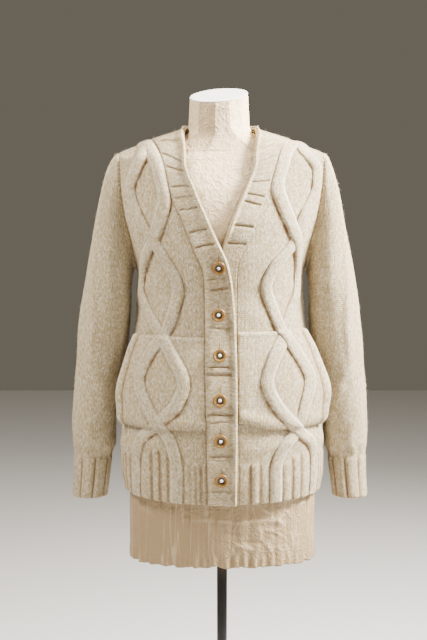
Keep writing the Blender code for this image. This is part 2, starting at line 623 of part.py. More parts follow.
def build_stand():
    base = [(0, 0), (BASE_RADIUS, 0), (BASE_RADIUS, BASE_THICK * 0.6), (BASE_RADIUS - 0.006, BASE_THICK),
            (0, BASE_THICK)]
    turned("base", base, 48, BLACK, 0.4).location.x = STAND_X
    low, high = BASE_THICK + 0.0004, FORM_BOTTOM_Z - 0.0004
    pole = [(0, low), (POLE_RADIUS, low), (POLE_RADIUS, high), (0, high)]
    turned("pole", pole, 20, BLACK, 0.3).location.x = STAND_X


def main():
    for obj in list(bpy.data.objects):
        bpy.data.objects.remove(obj, do_unlink=True)
    back = build_back()
    for name, sign, cable, seam, pocket, inner_edge in (
            ("right", -1, CABLE_RIGHT, SEAM_RIGHT, POCKET_RIGHT, INNER_RIGHT),
            ("left", 1, CABLE_LEFT, SEAM_LEFT, POCKET_LEFT, INNER_LEFT)):
        front = build_front("front_" + name, sign, cable, seam, pocket)
        build_pocket("pocket_" + name, sign, cable, seam, pocket)
        build_sleeve("sleeve_" + name, sign, front, back)
        middle = back[0].shape[1] // 2
        start = middle + sign * (NECK_SPANS - 1)
        rail, facing = (np.concatenate([f[:, 0], b[-1, start::-sign][:NECK_SPANS]])
                        for f, b in zip(front, back))
        build_band("band_" + name, sign, rail, facing, inner_edge, sign < 0)
    for number, (x, z) in enumerate(zip(BUTTONS["x"], BUTTONS["z"]), 1):
        build_button(number, x, z)
    build_form()
    build_stand()


main()
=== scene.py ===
"""Boyfriend cardigan in cream wool with traditional cables, on a paper-covered dress form.

The knitted pieces are thin walls on the solids' own surfaces, with cables, ribs, seams
and soft folds in their shape and the stitches in their material. Metres, Z up, the front
faces -Y and the wearer's right is -X.
"""

import json
import math
from functools import lru_cache, reduce

import bpy
import numpy as np
from bpy.props import FloatProperty, FloatVectorProperty, IntProperty, PointerProperty
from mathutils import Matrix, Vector, noise

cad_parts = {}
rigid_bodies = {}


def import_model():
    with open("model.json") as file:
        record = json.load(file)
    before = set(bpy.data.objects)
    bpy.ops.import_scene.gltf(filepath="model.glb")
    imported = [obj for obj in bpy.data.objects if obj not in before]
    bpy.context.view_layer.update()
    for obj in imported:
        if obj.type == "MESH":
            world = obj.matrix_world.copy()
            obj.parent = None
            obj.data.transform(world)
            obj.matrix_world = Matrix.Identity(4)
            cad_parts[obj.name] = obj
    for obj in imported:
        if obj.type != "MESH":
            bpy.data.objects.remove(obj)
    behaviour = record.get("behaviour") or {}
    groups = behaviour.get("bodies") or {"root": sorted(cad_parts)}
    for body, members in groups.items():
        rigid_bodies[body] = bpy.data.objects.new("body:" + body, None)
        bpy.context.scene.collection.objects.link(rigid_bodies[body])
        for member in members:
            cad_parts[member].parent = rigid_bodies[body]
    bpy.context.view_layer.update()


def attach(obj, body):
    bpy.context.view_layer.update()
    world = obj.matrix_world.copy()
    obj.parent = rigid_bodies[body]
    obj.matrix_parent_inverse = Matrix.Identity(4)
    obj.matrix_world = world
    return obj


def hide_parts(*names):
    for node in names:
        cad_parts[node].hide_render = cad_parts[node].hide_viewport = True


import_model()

bl_info = {
    "name": "Cable cardigan on a dress form",
    "version": (1, 0, 0),
    "blender": (4, 5, 0),
    "location": "View3D > Sidebar > Cardigan",
    "description": "Builds a cream cable cardigan, its buttons and its paper dress form",
    "category": "Add Mesh",
}

# ---- sizes shared with the solids, metres ---------------------------------------------
WALL = 0.004
ROPE_WIDTH = 0.024
SEAM_GAP = 0.0004
ARM_GAP = 0.0003
FORM_GAP = 0.0050
FORM_DROP = 0.006
FORM_SHOULDER = 0.178
STAND_X = 0.0040
HEM_Z = 0.6275
RIB_TOP_Z = 0.700
ARMPIT_Z = 1.046
CHART_Z = 1.200         # above this height the chart runs over the shoulder
SHOULDER_RUN = 0.125    # and this is how long it is there
SQUARENESS = 2.25
RIDGE_IN = 0.130
RIDGE_OUT = 0.190
POCKET_WALL = 0.0035
POCKET_SIDE = 0.045
POCKET_GAP = 0.0013
BAND_THICK = 0.0055
BAND_GAP = 0.0003
UNDER_THICK = 0.0040
LAP_TOP_Z = 1.085
NECK_INNER = (0.0625, 0.0680)
NECK_OUTER = (0.1300, 0.0960)
NECK_TILT = math.radians(14)
NECK_ROLL = math.radians(4.5)
NECK_TOP_Z = 1.372
FORM_BOTTOM_Z = 0.498
PIXEL = 0.0019          # metres for each pixel of a 427 x 640 picture, at the front band
SIDES = {"right": -1, "left": 1}

RINGS = dict(
    z=(0.610, 0.630, 0.665, 0.702, 0.760, 0.820, 0.886, 0.940, 0.990, 1.034, 1.080, 1.130,
       1.180, 1.220, 1.250, 1.261, 1.285, 1.312, 1.345),
    half_width=(0.1800, 0.1810, 0.1865, 0.1875, 0.1865, 0.1800, 0.1690, 0.1575, 0.1530, 0.1520,
                0.1620, 0.1780, 0.1930, 0.2050, 0.2120, 0.1894, 0.1285, 0.0600, 0.0560),
    front=(0.1300, 0.1310, 0.1350, 0.1360, 0.1365, 0.1330, 0.1260, 0.1190, 0.1180, 0.1230,
           0.1290, 0.1300, 0.1210, 0.1060, 0.0900, 0.0835, 0.0700, 0.0590, 0.0550),
    back=(0.1210, 0.1220, 0.1240, 0.1250, 0.1250, 0.1220, 0.1150, 0.1070, 0.1020, 0.1030,
          0.1060, 0.1090, 0.1090, 0.1040, 0.0980, 0.0935, 0.0810, 0.0640, 0.0590),
    shift=(0.0045, 0.0045, 0.0045, 0.0040, 0.0030, 0.0020, 0.0010, 0.0005, 0.0000, 0.0005,
           0.0010, 0.0015, 0.0020, 0.0025, 0.0025, 0.0020, 0.0010, 0.0000, 0.0000),
)
SEAM = {
    "right": dict(z=(0.600, 1.010, 1.050, 1.080, 1.130, 1.186, 1.227),
                  reach=(0.0285, 0.0285, 0.0320, 0.0455, 0.0655, 0.0905, 0.1020)),
    "left": dict(z=(0.600, 1.030, 1.067, 1.086, 1.137, 1.178, 1.227),
                 reach=(0.0300, 0.0300, 0.0325, 0.0423, 0.0641, 0.0790, 0.0960)),
}
ARMHOLE = dict(z=(1.046, 1.080, 1.108, 1.140, 1.200, 1.245, 1.262),
               reach=(0.1530, 0.1600, 0.1650, 0.1735, 0.1835, 0.1885, 0.1900))

# Each front's cable has two strands: how far round from the centre front each lies, at
# each chart height. Where they cross, over says which of the two is on top.
STRANDS = {
    "right": dict(
        z=(0.600, 0.690, 0.733, 0.761, 0.800, 0.844, 0.890, 0.924, 0.960, 1.018,
           1.070, 1.106, 1.146, 1.197, 1.236, 1.285, 1.325),
        first=(0.1750, 0.1710, 0.1610, 0.1300, 0.0830, 0.0666, 0.0870, 0.1057, 0.1375, 0.1690,
               0.1540, 0.1292, 0.1130, 0.1010, 0.1095, 0.1160, 0.1170),
        second=(0.0865, 0.0845, 0.0915, 0.1130, 0.1375, 0.1520, 0.1335, 0.1107, 0.0910, 0.0782,
                0.1040, 0.1292, 0.1570, 0.1764, 0.1590, 0.1235, 0.1200)),
    "left": dict(
        z=(0.600, 0.690, 0.725, 0.753, 0.800, 0.844, 0.885, 0.927, 0.970, 1.022,
           1.066, 1.100, 1.146, 1.200, 1.240, 1.285, 1.325),
        first=(0.1870, 0.1890, 0.1810, 0.1460, 0.1010, 0.0825, 0.0950, 0.1180, 0.1390, 0.1623,
               0.1600, 0.1510, 0.1260, 0.1025, 0.0955, 0.1040, 0.1070),
        second=(0.0990, 0.0990, 0.1135, 0.1415, 0.1550, 0.1635, 0.1450, 0.1205, 0.1010, 0.0845,
                0.1080, 0.1410, 0.1570, 0.1843, 0.1840, 0.1390, 0.1180)),
}
CROSSINGS = {
    "right": dict(z=(0.770, 0.9275, 1.106, 1.310), over=(-1, 1, -1, 1)),
    "left": dict(z=(0.760, 0.930, 1.111, 1.320), over=(1, -1, 1, -1)),
}
POCKET = {
    "right": dict(top=0.9260, bottom=0.7600, puff=0.0110, gape=0.0070, slope=0.0030),
    "left": dict(top=0.9360, bottom=0.7600, puff=0.0180, gape=0.0100, slope=0.0150),
}
# hem ribs of the fronts beside the two that the cable strands run into
RIBS = {
    "right": dict(
        low=(0.0290, 0.0402, 0.0502, 0.0605, 0.1010, 0.1175, 0.1355, 0.1900, 0.2065, 0.2225, 0.2395),
        high=(0.0375, 0.0482, 0.0580, 0.0715, 0.1145, 0.1325, 0.1610, 0.2040, 0.2200, 0.2370, 0.2540),
        rise=(0.0022, 0.0022, 0.0012, 0.0010, 0.0022, 0.0028, 0.0028, 0.0022, 0.0022, 0.0022, 0.0022),
        top=(0.700, 0.700, 0.700, 0.700, 0.716, 0.723, 0.716, 0.705, 0.705, 0.705, 0.705)),
    "left": dict(
        low=(0.0310, 0.0512, 0.0702, 0.1130, 0.1337, 0.1530, 0.2035, 0.2170, 0.2310, 0.2450),
        high=(0.0470, 0.0677, 0.0850, 0.1308, 0.1505, 0.1750, 0.2150, 0.2290, 0.2430, 0.2560),
        rise=(0.0010, 0.0030, 0.0012, 0.0020, 0.0028, 0.0026, 0.0022, 0.0022, 0.0022, 0.0022),
        top=(0.700, 0.701, 0.700, 0.700, 0.708, 0.712, 0.705, 0.705, 0.705, 0.705)),
}
SLEEVE = dict(
    outer_x=(0.2130, 0.2250, 0.2345, 0.2440, 0.2527, 0.2605, 0.2665, 0.2715, 0.2750,
             0.2785, 0.2815, 0.2830, 0.2825, 0.2790, 0.2788, 0.2788, 0.2794, 0.2806, 0.2822),
    outer_z=(1.2320, 1.1840, 1.1400, 1.0930, 1.0530, 1.0050, 0.9620, 0.9150, 0.8700,
             0.8250, 0.7850, 0.7450, 0.7150, 0.6960, 0.6880, 0.6680, 0.6480, 0.6280, 0.6080),
    inner_x=(0.1640, 0.1662, 0.1675, 0.1680, 0.1690, 0.1715, 0.1755, 0.1810, 0.1870,
             0.1925, 0.1965, 0.1980, 0.1990, 0.2065, 0.2085, 0.2110, 0.2135, 0.2162, 0.2190),
    inner_z=(1.0360, 1.0180, 0.9980, 0.9750, 0.9500, 0.9250, 0.9000, 0.8700, 0.8380,
             0.8050, 0.7750, 0.7420, 0.7130, 0.6950, 0.6870, 0.6680, 0.6480, 0.6280, 0.6080),
    depth=(0.0640, 0.0660, 0.0640, 0.0620, 0.0600, 0.0590, 0.0580, 0.0560, 0.0540,
           0.0520, 0.0500, 0.0470, 0.0440, 0.0375, 0.0355, 0.0350, 0.0352, 0.0360, 0.0370),
    middle_y=(0.0020, 0.0030, 0.0040, 0.0060, 0.0080, 0.0100, 0.0120, 0.0150, 0.0170,
              0.0190, 0.0200, 0.0200, 0.0200, 0.0190, 0.0190, 0.0190, 0.0185, 0.0180, 0.0180),
)
CUFF_ROW = 16           # station of the sleeve where its cuff starts
# pseudo heights of the armhole points that the sleeve's head is sewn to
ARM_HEIGHTS = (1.046, 1.062, 1.081, 1.104, 1.127, 1.150, 1.175, 1.200, 1.21875, 1.23625,
               1.25375, 1.27125, 1.28875, 1.3075, 1.325)
INNER = {
    "right": dict(at=(0.600, 0.800, 0.950, 1.015, 1.050, 1.081, 1.130, 1.186, 1.227, 1.258),
                  z=(0.600, 0.800, 0.950, 1.020, 1.063, 1.098, 1.147, 1.200, 1.2365, 1.262),
                  x=(0.0293, 0.0293, 0.0273, 0.0218, 0.0143, -0.0012, -0.0237, -0.0462, -0.0590,
                     -0.0650)),
    "left": dict(at=(0.600, 0.800, 0.950, 1.010, 1.050, 1.086, 1.137, 1.178, 1.227, 1.258),
                 z=(0.600, 0.800, 0.950, 1.015, 1.063, 1.101, 1.158, 1.200, 1.2365, 1.264),
                 x=(-0.0105, -0.0105, -0.0105, -0.0105, -0.0065, 0.0053, 0.0268, 0.0437, 0.0562,
                    0.0635)),
}
# Purl lines that cross each band: how far up it from the hem, how wide and how deep.
PURLS = {
    "right": dict(
        place=(0.0300, 0.0857, 0.0928, 0.1545, 0.1684, 0.2412, 0.2555, 0.3277, 0.3997, 0.4171,
               0.4796, 0.5084, 0.5518, 0.5764, 0.6003, 0.6416, 0.6714),
        width=(0.0034, 0.0022, 0.0046, 0.0020, 0.0052, 0.0056, 0.0028, 0.0024, 0.0050, 0.0024,
               0.0034, 0.0030, 0.0032, 0.0028, 0.0030, 0.0034, 0.0034),
        depth=(0.6, 0.4, 0.9, 0.5, 0.9, 0.9, 0.8, 0.5, 0.9, 0.7,
               1.0, 0.8, 0.8, 0.8, 1.0, 0.9, 1.0)),
    "left": dict(
        place=(0.0300, 0.0928, 0.1684, 0.2412, 0.3277, 0.3997, 0.4864, 0.5189, 0.5620, 0.5785,
               0.6119, 0.6664, 0.6927),
        width=(0.0030, 0.0040, 0.0040, 0.0040, 0.0030, 0.0040, 0.0042, 0.0036, 0.0034, 0.0034,
               0.0032, 0.0030, 0.0030),
        depth=(0.4, 0.4, 0.4, 0.4, 0.4, 0.4, 1.0, 1.0, 0.9, 0.9, 1.0, 0.4, 0.4)),
}
BUTTONS = dict(z=(1.0577, 0.9697, 0.8949, 0.8132, 0.7401, 0.6677),
               x=(-0.0029, -0.0032, -0.0007, -0.0004, 0.0009, 0.0022))

BUTTON_THICK = 0.0050
# A button's profile from the middle of its back to that of its face, as shares of its
# radius and thickness.
BUTTON_TURN = dict(
    out=(0, 0.72, 0.90, 0.98, 1, 0.985, 0.93, 0.85, 0.76, 0.70, 0.66, 0.60, 0.50, 0.44, 0.38, 0.30, 0),
    up=(0, 0, 0.12, 0.36, 0.60, 0.80, 0.95, 1, 0.97, 0.86, 0.72, 0.66, 0.66, 0.62, 0.50, 0.46, 0.46),
)

# Soft folds: from one chart point to another, how wide and how high (or deep).
PANEL_FOLDS = {
    "right": dict(
        a0=(0.060, 0.200, 0.215, 0.235, 0.060, 0.150, 0.120, 0.190),
        z0=(0.715, 0.716, 0.990, 0.985, 1.010, 1.160, 0.965, 1.060),
        a1=(0.200, 0.262, 0.140, 0.170, 0.150, 0.160, 0.040, 0.150),
        z1=(0.722, 0.712, 1.020, 0.965, 0.995, 1.040, 0.985, 1.110),
        width=(0.014, 0.014, 0.012, 0.012, 0.016, 0.012, 0.014, 0.012),
        rise=(0.0028, 0.0030, 0.0020, -0.0016, -0.0014, 0.0018, 0.0012, -0.0016)),
    "left": dict(
        a0=(0.050, 0.190, 0.210, 0.230, 0.055, 0.160, 0.110, 0.175),
        z0=(0.722, 0.728, 0.985, 1.015, 1.015, 1.170, 0.955, 1.075),
        a1=(0.190, 0.262, 0.130, 0.165, 0.140, 0.150, 0.045, 0.140),
        z1=(0.728, 0.722, 1.010, 0.990, 1.000, 1.060, 0.975, 1.130),
        width=(0.014, 0.014, 0.013, 0.012, 0.015, 0.012, 0.014, 0.012),
        rise=(0.0030, 0.0032, 0.0016, -0.0016, -0.0012, 0.0016, 0.0012, -0.0014)),
}
BACK_FOLDS = dict(
    a0=(-0.200, 0.020, -0.240, 0.235, -0.150, 0.120, -0.060, 0.180, -0.190, 0.015),
    z0=(0.720, 0.724, 0.985, 0.990, 1.020, 1.030, 0.960, 0.955, 1.090, 1.180),
    a1=(0.010, 0.210, -0.110, 0.120, 0.020, -0.010, 0.090, 0.060, -0.140, 0.030),
    z1=(0.726, 0.720, 0.960, 0.965, 1.005, 1.012, 0.968, 0.975, 1.180, 1.060),
    width=(0.014, 0.014, 0.014, 0.014, 0.016, 0.016, 0.016, 0.014, 0.014, 0.020),
    rise=(0.0028, 0.0030, 0.0026, 0.0024, -0.0022, -0.0018, 0.0024, 0.0020, 0.0018, -0.0016),
)
# Folds of the sleeves: turn is round the arm, 0 underneath, 90 in front, 180 outside;
# down is the distance from the shoulder.
SLEEVE_FOLDS = dict(
    t0=(135, 62, 30, 100, 45, 140, 80, 120, 60, 150, 240, 300, 210, 250, 320),
    d0=(0.120, 0.140, 0.060, 0.330, 0.300, 0.400, 0.520, 0.500, 0.470, 0.540, 0.160, 0.260, 0.420, 0.540,
        0.480),
    t1=(112, 48, 70, 60, 95, 95, 130, 60, 25, 110, 255, 280, 250, 290, 280),
    d1=(0.330, 0.330, 0.150, 0.400, 0.350, 0.470, 0.560, 0.540, 0.530, 0.500, 0.360, 0.400, 0.480, 0.560,
        0.560),
    width=(0.012, 0.011, 0.010, 0.014, 0.013, 0.015, 0.011, 0.010, 0.011, 0.012, 0.014, 0.014, 0.015,
           0.011, 0.012),
    rise=(0.0036, -0.0030, 0.0028, 0.0032, -0.0026, 0.0030, 0.0026, -0.0022, 0.0026, -0.0022, 0.0034,
          -0.0026, 0.0032, 0.0028, -0.0026),
)


# ---- curves and the body's surface ------------------------------------------------------
def smooth(xs, ys, x):
    """Monotone cubic through a table, so nothing overshoots between its rows."""
    xs, ys, x = (np.asarray(v, float) for v in (xs, ys, x))
    step = np.diff(xs)
    rise = np.diff(ys) / step
    slope = np.empty_like(ys)
    slope[0], slope[-1] = rise[0], rise[-1]
    same = rise[:-1] * rise[1:] > 0
    w1, w2 = 2 * step[1:] + step[:-1], step[1:] + 2 * step[:-1]
    with np.errstate(divide="ignore", invalid="ignore"):
        mean = (w1 + w2) / (w1 / rise[:-1] + w2 / rise[1:])
    slope[1:-1] = np.where(same, mean, 0.0)
    i = np.clip(np.searchsorted(xs, x) - 1, 0, len(xs) - 2)
    t = np.clip((x - xs[i]) / step[i], 0.0, 1.0)
    return ((1 + 2 * t) * (1 - t) ** 2 * ys[i] + t * (1 - t) ** 2 * step[i] * slope[i]
            + t * t * (3 - 2 * t) * ys[i + 1] + t * t * (t - 1) * step[i] * slope[i + 1])


def fade(x, low, high):
    """0 below low, 1 above high, soft between."""
    t = np.clip((np.asarray(x, float) - low) / (high - low), 0, 1)
    return t * t * (3 - 2 * t)


def bell(x, width):
    """1 in the middle, falling away over about a width to each side."""
    return np.exp(-(x / width) ** 2)


def deepest(*values):
    """The largest of several grids at each point."""
    return reduce(np.maximum, values)


def unit(v):
    """Vectors made one long."""
    return v / np.linalg.norm(v, axis=-1, keepdims=True)


def ring(name, z):
    """One size of the body's level ring at a height."""
    return smooth(RINGS["z"], RINGS[name], z)


def body_value(p):
    """Below 1 inside the cloth's inner surface, above 1 outside it."""
    x = np.abs(p[..., 0] - ring("shift", p[..., 2])) / ring("half_width", p[..., 2])
    deep = np.where(p[..., 1] < 0, ring("front", p[..., 2]), ring("back", p[..., 2]))
    return x ** SQUARENESS + (np.abs(p[..., 1]) / deep) ** SQUARENESS


def body_normal(p):
    """Outward direction of the body's surface, and how fast its value grows there."""
    h = 2e-4
    grad = np.stack([body_value(p + h * e) - body_value(p - h * e) for e in np.eye(3)], -1)
    grad /= 2 * h
    size = np.linalg.norm(grad, axis=-1, keepdims=True)
    return grad / size, size[..., 0]


def settle(p, rounds=5):
    """Points moved onto the body surface, and the outward direction there."""
    p = np.array(p, float)
    for _ in range(rounds):
        n, size = body_normal(p)
        p = p - n * np.clip((body_value(p) - 1) / size, -0.02, 0.02)[..., None]
    return p, body_normal(p)[0]


def ridge_z(x):
    """Height of the shoulder seam this far out."""
    zs = np.linspace(1.2505, 1.312, 400)
    return np.interp(-np.abs(x), -ring("half_width", zs), zs)


def level_curve(z, face):
    """A quarter of a level ring: distance along it, how far out and how deep."""
    t = np.linspace(0, math.pi / 2, 241)
    a, b = ring("half_width", z), ring("front" if face < 0 else "back", z)
    x, y = a * np.sin(t) ** (2 / SQUARENESS), b * np.cos(t) ** (2 / SQUARENESS)
    return np.concatenate([[0], np.cumsum(np.hypot(np.diff(x), np.diff(y)))]), x, y


def level_point(sign, arc, z, face=-1):
    """Points this far round a level ring from its middle; the front's hem dips a little."""
    along, x, y = level_curve(z, face)
    arc = np.minimum(arc, along[-1])
    dip = 0.010 * (1 - np.clip(arc / 0.2, 0, 1) ** 2) * (1 - smooth((0.62, 0.80), (0, 1), z))
    return np.stack([sign * np.interp(arc, along, x) + ring("shift", z),
                     face * np.interp(arc, along, y), z - dip * (face < 0)], -1)


def level_arc(reach, z, face=-1):
    """Distance along a level ring to where it is this far out."""
    along, x, _ = level_curve(z, face)
    return np.interp(reach, x, along)


def shoulder_row(sign, x0, x1, s, face=-1):
    """Points at the share s of the way from the chart height over to the shoulder seam."""
    x = x0 + (x1 - x0) * s
    z = CHART_Z + (ridge_z(x) - CHART_Z) * math.sin(s * math.pi / 2)
    r = np.ones_like(x) if s > 0.999 else np.clip(x / ring("half_width", z), 0, 1)
    y = ring("front" if face < 0 else "back", z) * (1 - r ** SQUARENESS) ** (1 / SQUARENESS)
    return np.stack([sign * x + ring("shift", z), face * y, z], -1)


def dome_z(x, y):
    """Height of the shoulder dome over a point of the plan."""
    zs = np.linspace(1.2505, 1.330, 600)
    p = np.stack([np.full_like(zs, x) + ring("shift", zs), np.full_like(zs, y), zs], -1)
    return np.interp(1.0, body_value(p), zs)


def creases(table, across, up, scale=1.0):
    """Sum of soft ridges and troughs, each along its own line and fading at its ends."""
    total = np.zeros(np.broadcast(across, up).shape)
    for a0, z0, a1, z1, width, rise in zip(*table.values()):
        along = np.array([(a1 - a0) * scale, z1 - z0])
        length = np.hypot(*along)
        along /= length
        da, dz = (across - a0) * scale, up - z0
        run = da * along[0] + dz * along[1]
        off = dz * along[0] - da * along[1]
        off = off - 0.06 * length * np.sin(np.clip(run / length, 0, 1) * math.pi)
        ends = fade(run, -0.3 * length, 0.25 * length) * (1 - fade(run, 0.75 * length, 1.3 * length))
        total = total + rise * bell(off, width) * ends
    return total


def waver(points, scale, amount, seed=0.0):
    """A slow unevenness over a grid of points, the same each run."""
    flat = points.reshape(-1, 3)
    values = [noise.noise(Vector(p) * scale + Vector((seed, 0, 0))) for p in flat]
    return np.array(values).reshape(points.shape[:-1]) * amount


# ---- the front panels -------------------------------------------------------------------
LEVEL_ROWS = 287
SHOULDER_ROWS = 62
PANEL_COLUMNS = 133


def chart_heights(level_rows, shoulder_rows):
    return np.concatenate([np.linspace(HEM_Z, CHART_Z, level_rows),
                           CHART_Z + SHOULDER_RUN * np.arange(1, shoulder_rows + 1) / shoulder_rows])


def follow(at, places, points):
    """Points at these places along a line whose own points are at other places."""
    return np.stack([np.interp(at, places, points[:, k]) for k in range(3)], -1)


def distances(points):
    """How far along a line of points each one lies."""
    return np.concatenate([[0], np.cumsum(np.linalg.norm(np.diff(points, axis=0), axis=1))])


class Panel:
    """The inner surface of a front as a grid, and the chart that ropes and pockets lie on."""

    def __init__(self, side):
        sign = SIDES[side]
        self.side, self.sign = side, sign
        self.heights = chart_heights(LEVEL_ROWS, SHOULDER_ROWS)
        share = np.linspace(0, 1, PANEL_COLUMNS)
        rows, first, last = [], [], []
        for z in self.heights[:LEVEL_ROWS]:
            low = level_arc(smooth(SEAM[side]["z"], SEAM[side]["reach"], z), z)
            high = level_arc(1.0, z) - SEAM_GAP / 2
            if z > ARMPIT_Z:
                high = level_arc(smooth(ARMHOLE["z"], ARMHOLE["reach"], z), z)
            rows.append(level_point(sign, low + (high - low) * share, z))
            first.append(low)
            last.append(high)
        reach = np.abs(rows[-1][:, 0] - ring("shift", CHART_Z))
        target = RIDGE_IN + (reach - reach[0]) / (reach[-1] - reach[0]) * (RIDGE_OUT - RIDGE_IN)
        for k in range(1, SHOULDER_ROWS + 1):
            rows.append(shoulder_row(sign, reach, target, k / SHOULDER_ROWS))
            first.append(first[LEVEL_ROWS - 1])
            last.append(last[LEVEL_ROWS - 1])
        self.points = np.array(rows)
        self.points[-1, :, 1] = -SEAM_GAP / 2
        self.normals = body_normal(self.points)[0]
        self.first, self.last = np.array(first), np.array(last)
        self.arcs = self.first[:, None] + (self.last - self.first)[:, None] * share
        self.width = np.linalg.norm(np.diff(self.points, axis=1), axis=-1).sum(1)
        self.up = np.broadcast_to(self.heights[:, None], self.arcs.shape)
        self.drape = creases(PANEL_FOLDS[side], self.arcs, self.up)
        edge = fade(share, 0, 0.06)[None] * fade(1 - share, 0, 0.04)[None]
        self.drape = self.drape * edge

    def edges(self, height):
        """Distances round from the centre front to both edges of the panel."""
        return (np.interp(height, self.heights, self.first),
                np.interp(height, self.heights, self.last))

    def share(self, arc, height):
        low, high = self.edges(height)
        return (arc - low) / (high - low)

    def sample(self, grid, share, height):
        """A grid's value at chart places, straight between its points."""
        r = np.interp(height, self.heights, np.arange(len(self.heights)))
        c = np.clip(share, 0, 1) * (PANEL_COLUMNS - 1)
        r0 = np.clip(r.astype(int), 0, len(self.heights) - 2)
        c0 = np.clip(c.astype(int), 0, PANEL_COLUMNS - 2)
        fr, fc = r - r0, c - c0
        if grid.ndim == 3:
            fr, fc = fr[..., None], fc[..., None]
        return ((grid[r0, c0] * (1 - fc) + grid[r0, c0 + 1] * fc) * (1 - fr)
                + (grid[r0 + 1, c0] * (1 - fc) + grid[r0 + 1, c0 + 1] * fc) * fr)

    @lru_cache(None)
    def strand_lines(self):
        """Shares across the panel of the two strands' centre lines, their bends rounded."""
        table = STRANDS[self.side]
        height = np.linspace(HEM_Z, self.heights[-1], 700)
        low, high = self.edges(height)
        low, high = low + ROPE_WIDTH / 2 + 0.0015, high - ROPE_WIDTH / 2 - 0.0005
        lines = []
        for s in ("first", "second"):
            line = self.share(np.clip(smooth(table["z"], table[s], height), low, high), height)
            for _ in range(110):
                line[1:-1] = (line[:-2] + 2 * line[1:-1] + line[2:]) / 4
            lines.append(line)
        return height, lines

    def strands(self, height):
        """Shares across the panel of the two strands' centre lines at these heights."""
        known, lines = self.strand_lines()
        return [np.interp(height, known, line) for line in lines]

    def pocket_lift(self, arcs, height):
        """How far the pocket's inner face stands off the panel's inner surface."""
        pocket = POCKET[self.side]
        last = self.edges(height)[1] - POCKET_SIDE
        along = smooth((0.0, 1.0), (0.0, 1.0), np.clip((arcs - 0.06) / (last - 0.06), 0, 1)) ** 1.3
        up = np.clip((height - pocket["bottom"]) / (pocket["top"] - pocket["bottom"]), 0, 1)
        gape = pocket["gape"] * bell(up - 0.32, 0.24) * fade(arcs, last - 0.05, last)
        return WALL + POCKET_GAP + pocket["puff"] * along * np.sin(math.pi * up) ** 0.7 + gape

    def on_pocket(self, arcs, height):
        """1 over the pocket, 0 off it, with a soft step at its top and bottom."""
        pocket = POCKET[self.side]
        last = self.edges(height)[1] - POCKET_SIDE
        return (fade(height, pocket["bottom"] - 0.004, pocket["bottom"] + 0.004)
                * (1 - fade(height, pocket["top"] - 0.004, pocket["top"] + 0.005))
                * (1 - fade(arcs, last - 0.002, last + 0.004)))


@lru_cache(None)
def panel(side):
    return Panel(side)


def rib_relief(table, arcs, heights):
    """Raised ribs below a height, each rounded across, and how much painted shade lies in the hollow at
    each rib's foot.
    """
    relief, groove = np.zeros_like(arcs), np.zeros_like(arcs)
    for low, high, rise, top in zip(*table.values()):
        t = np.abs(arcs - (low + high) / 2) / ((high - low) / 2)
        on = 1 - fade(heights, top - 0.005, top + 0.002)
        relief = np.maximum(relief, rise * np.clip(1 - t ** 2.2, 0, 1) ** 0.7 * on)
        for edge in (low, high):
            near = bell(np.abs(arcs - edge), 0.0022)
            groove = np.maximum(groove, near * rise / 0.0028 * on)
    return relief, groove


def edge_round(distance, radius):
    """How far a wall's outer face drops this near to its free edge."""
    t = np.clip(1 - distance / radius, 0, 1)
    return radius * (1 - np.sqrt(1 - t * t))


# ---- meshes -----------------------------------------------------------------------------
def mesh_object(name, verts, faces, uvs=None, groove=None, material=None):
    mesh = bpy.data.meshes.new(name)
    mesh.from_pydata(np.asarray(verts).tolist(), [], faces)
    if uvs is not None:
        layer = mesh.uv_layers.new(name="UVMap")
        layer.data.foreach_set("uv", np.asarray(uvs, np.float32).ravel())
    # painted light, and on the paper a brown tone, for the material to mix in
    if groove is not None:
        attribute = mesh.attributes.new("groove", "FLOAT", "POINT")
        attribute.data.foreach_set("value", np.asarray(groove, np.float32).ravel())
    mesh.polygons.foreach_set("use_smooth", [True] * len(mesh.polygons))
    obj = bpy.data.objects.new(name, mesh)
    bpy.context.scene.collection.objects.link(obj)
    if material:
        mesh.materials.append(material)
    mesh.update()
    return obj


def grid_quads(rows, columns, offset, tube):
    """Quads of a grid as vertex numbers, and as its UV grid's numbers."""
    spans = columns if tube else columns - 1
    r, c = np.meshgrid(np.arange(rows - 1), np.arange(spans), indexing="ij")
    d = (c + 1) % columns
    quads = np.stack([r * columns + c, r * columns + d, (r + 1) * columns + d, (r + 1) * columns + c],
                     -1).reshape(-1, 4) + offset
    wide = spans + 1
    uvs = np.stack([r * wide + c, r * wide + c + 1, (r + 1) * wide + c + 1, (r + 1) * wide + c],
                   -1).reshape(-1, 4)
    return quads, uvs


def rim_faces(outer, inner):
    """Triangles between an outer edge line and an inner one with fewer points."""
    ratio = (len(outer) - 1) // (len(inner) - 1)
    faces = []
    for j in range(len(inner) - 1):
        i0, i1 = inner[j], inner[j + 1]
        half = max(ratio // 2, 1)
        line = outer[j * ratio:(j + 1) * ratio + 1]
        for k in range(ratio):
            faces.append((line[k], line[k + 1], i0 if k < half else i1))
            if k == half - 1:
                faces.append((line[k + 1], i1, i0))
    return faces


def faced(corners, outward, groups):
    """Faces with their UVs, turned over if the face with these corners looks inward."""
    a, b, c = corners[:3]
    if np.dot(np.cross(b - a, c - a), outward) < 0:
        return [(faces[:, ::-1], loops[:, ::-1]) for faces, loops in groups]
    return groups


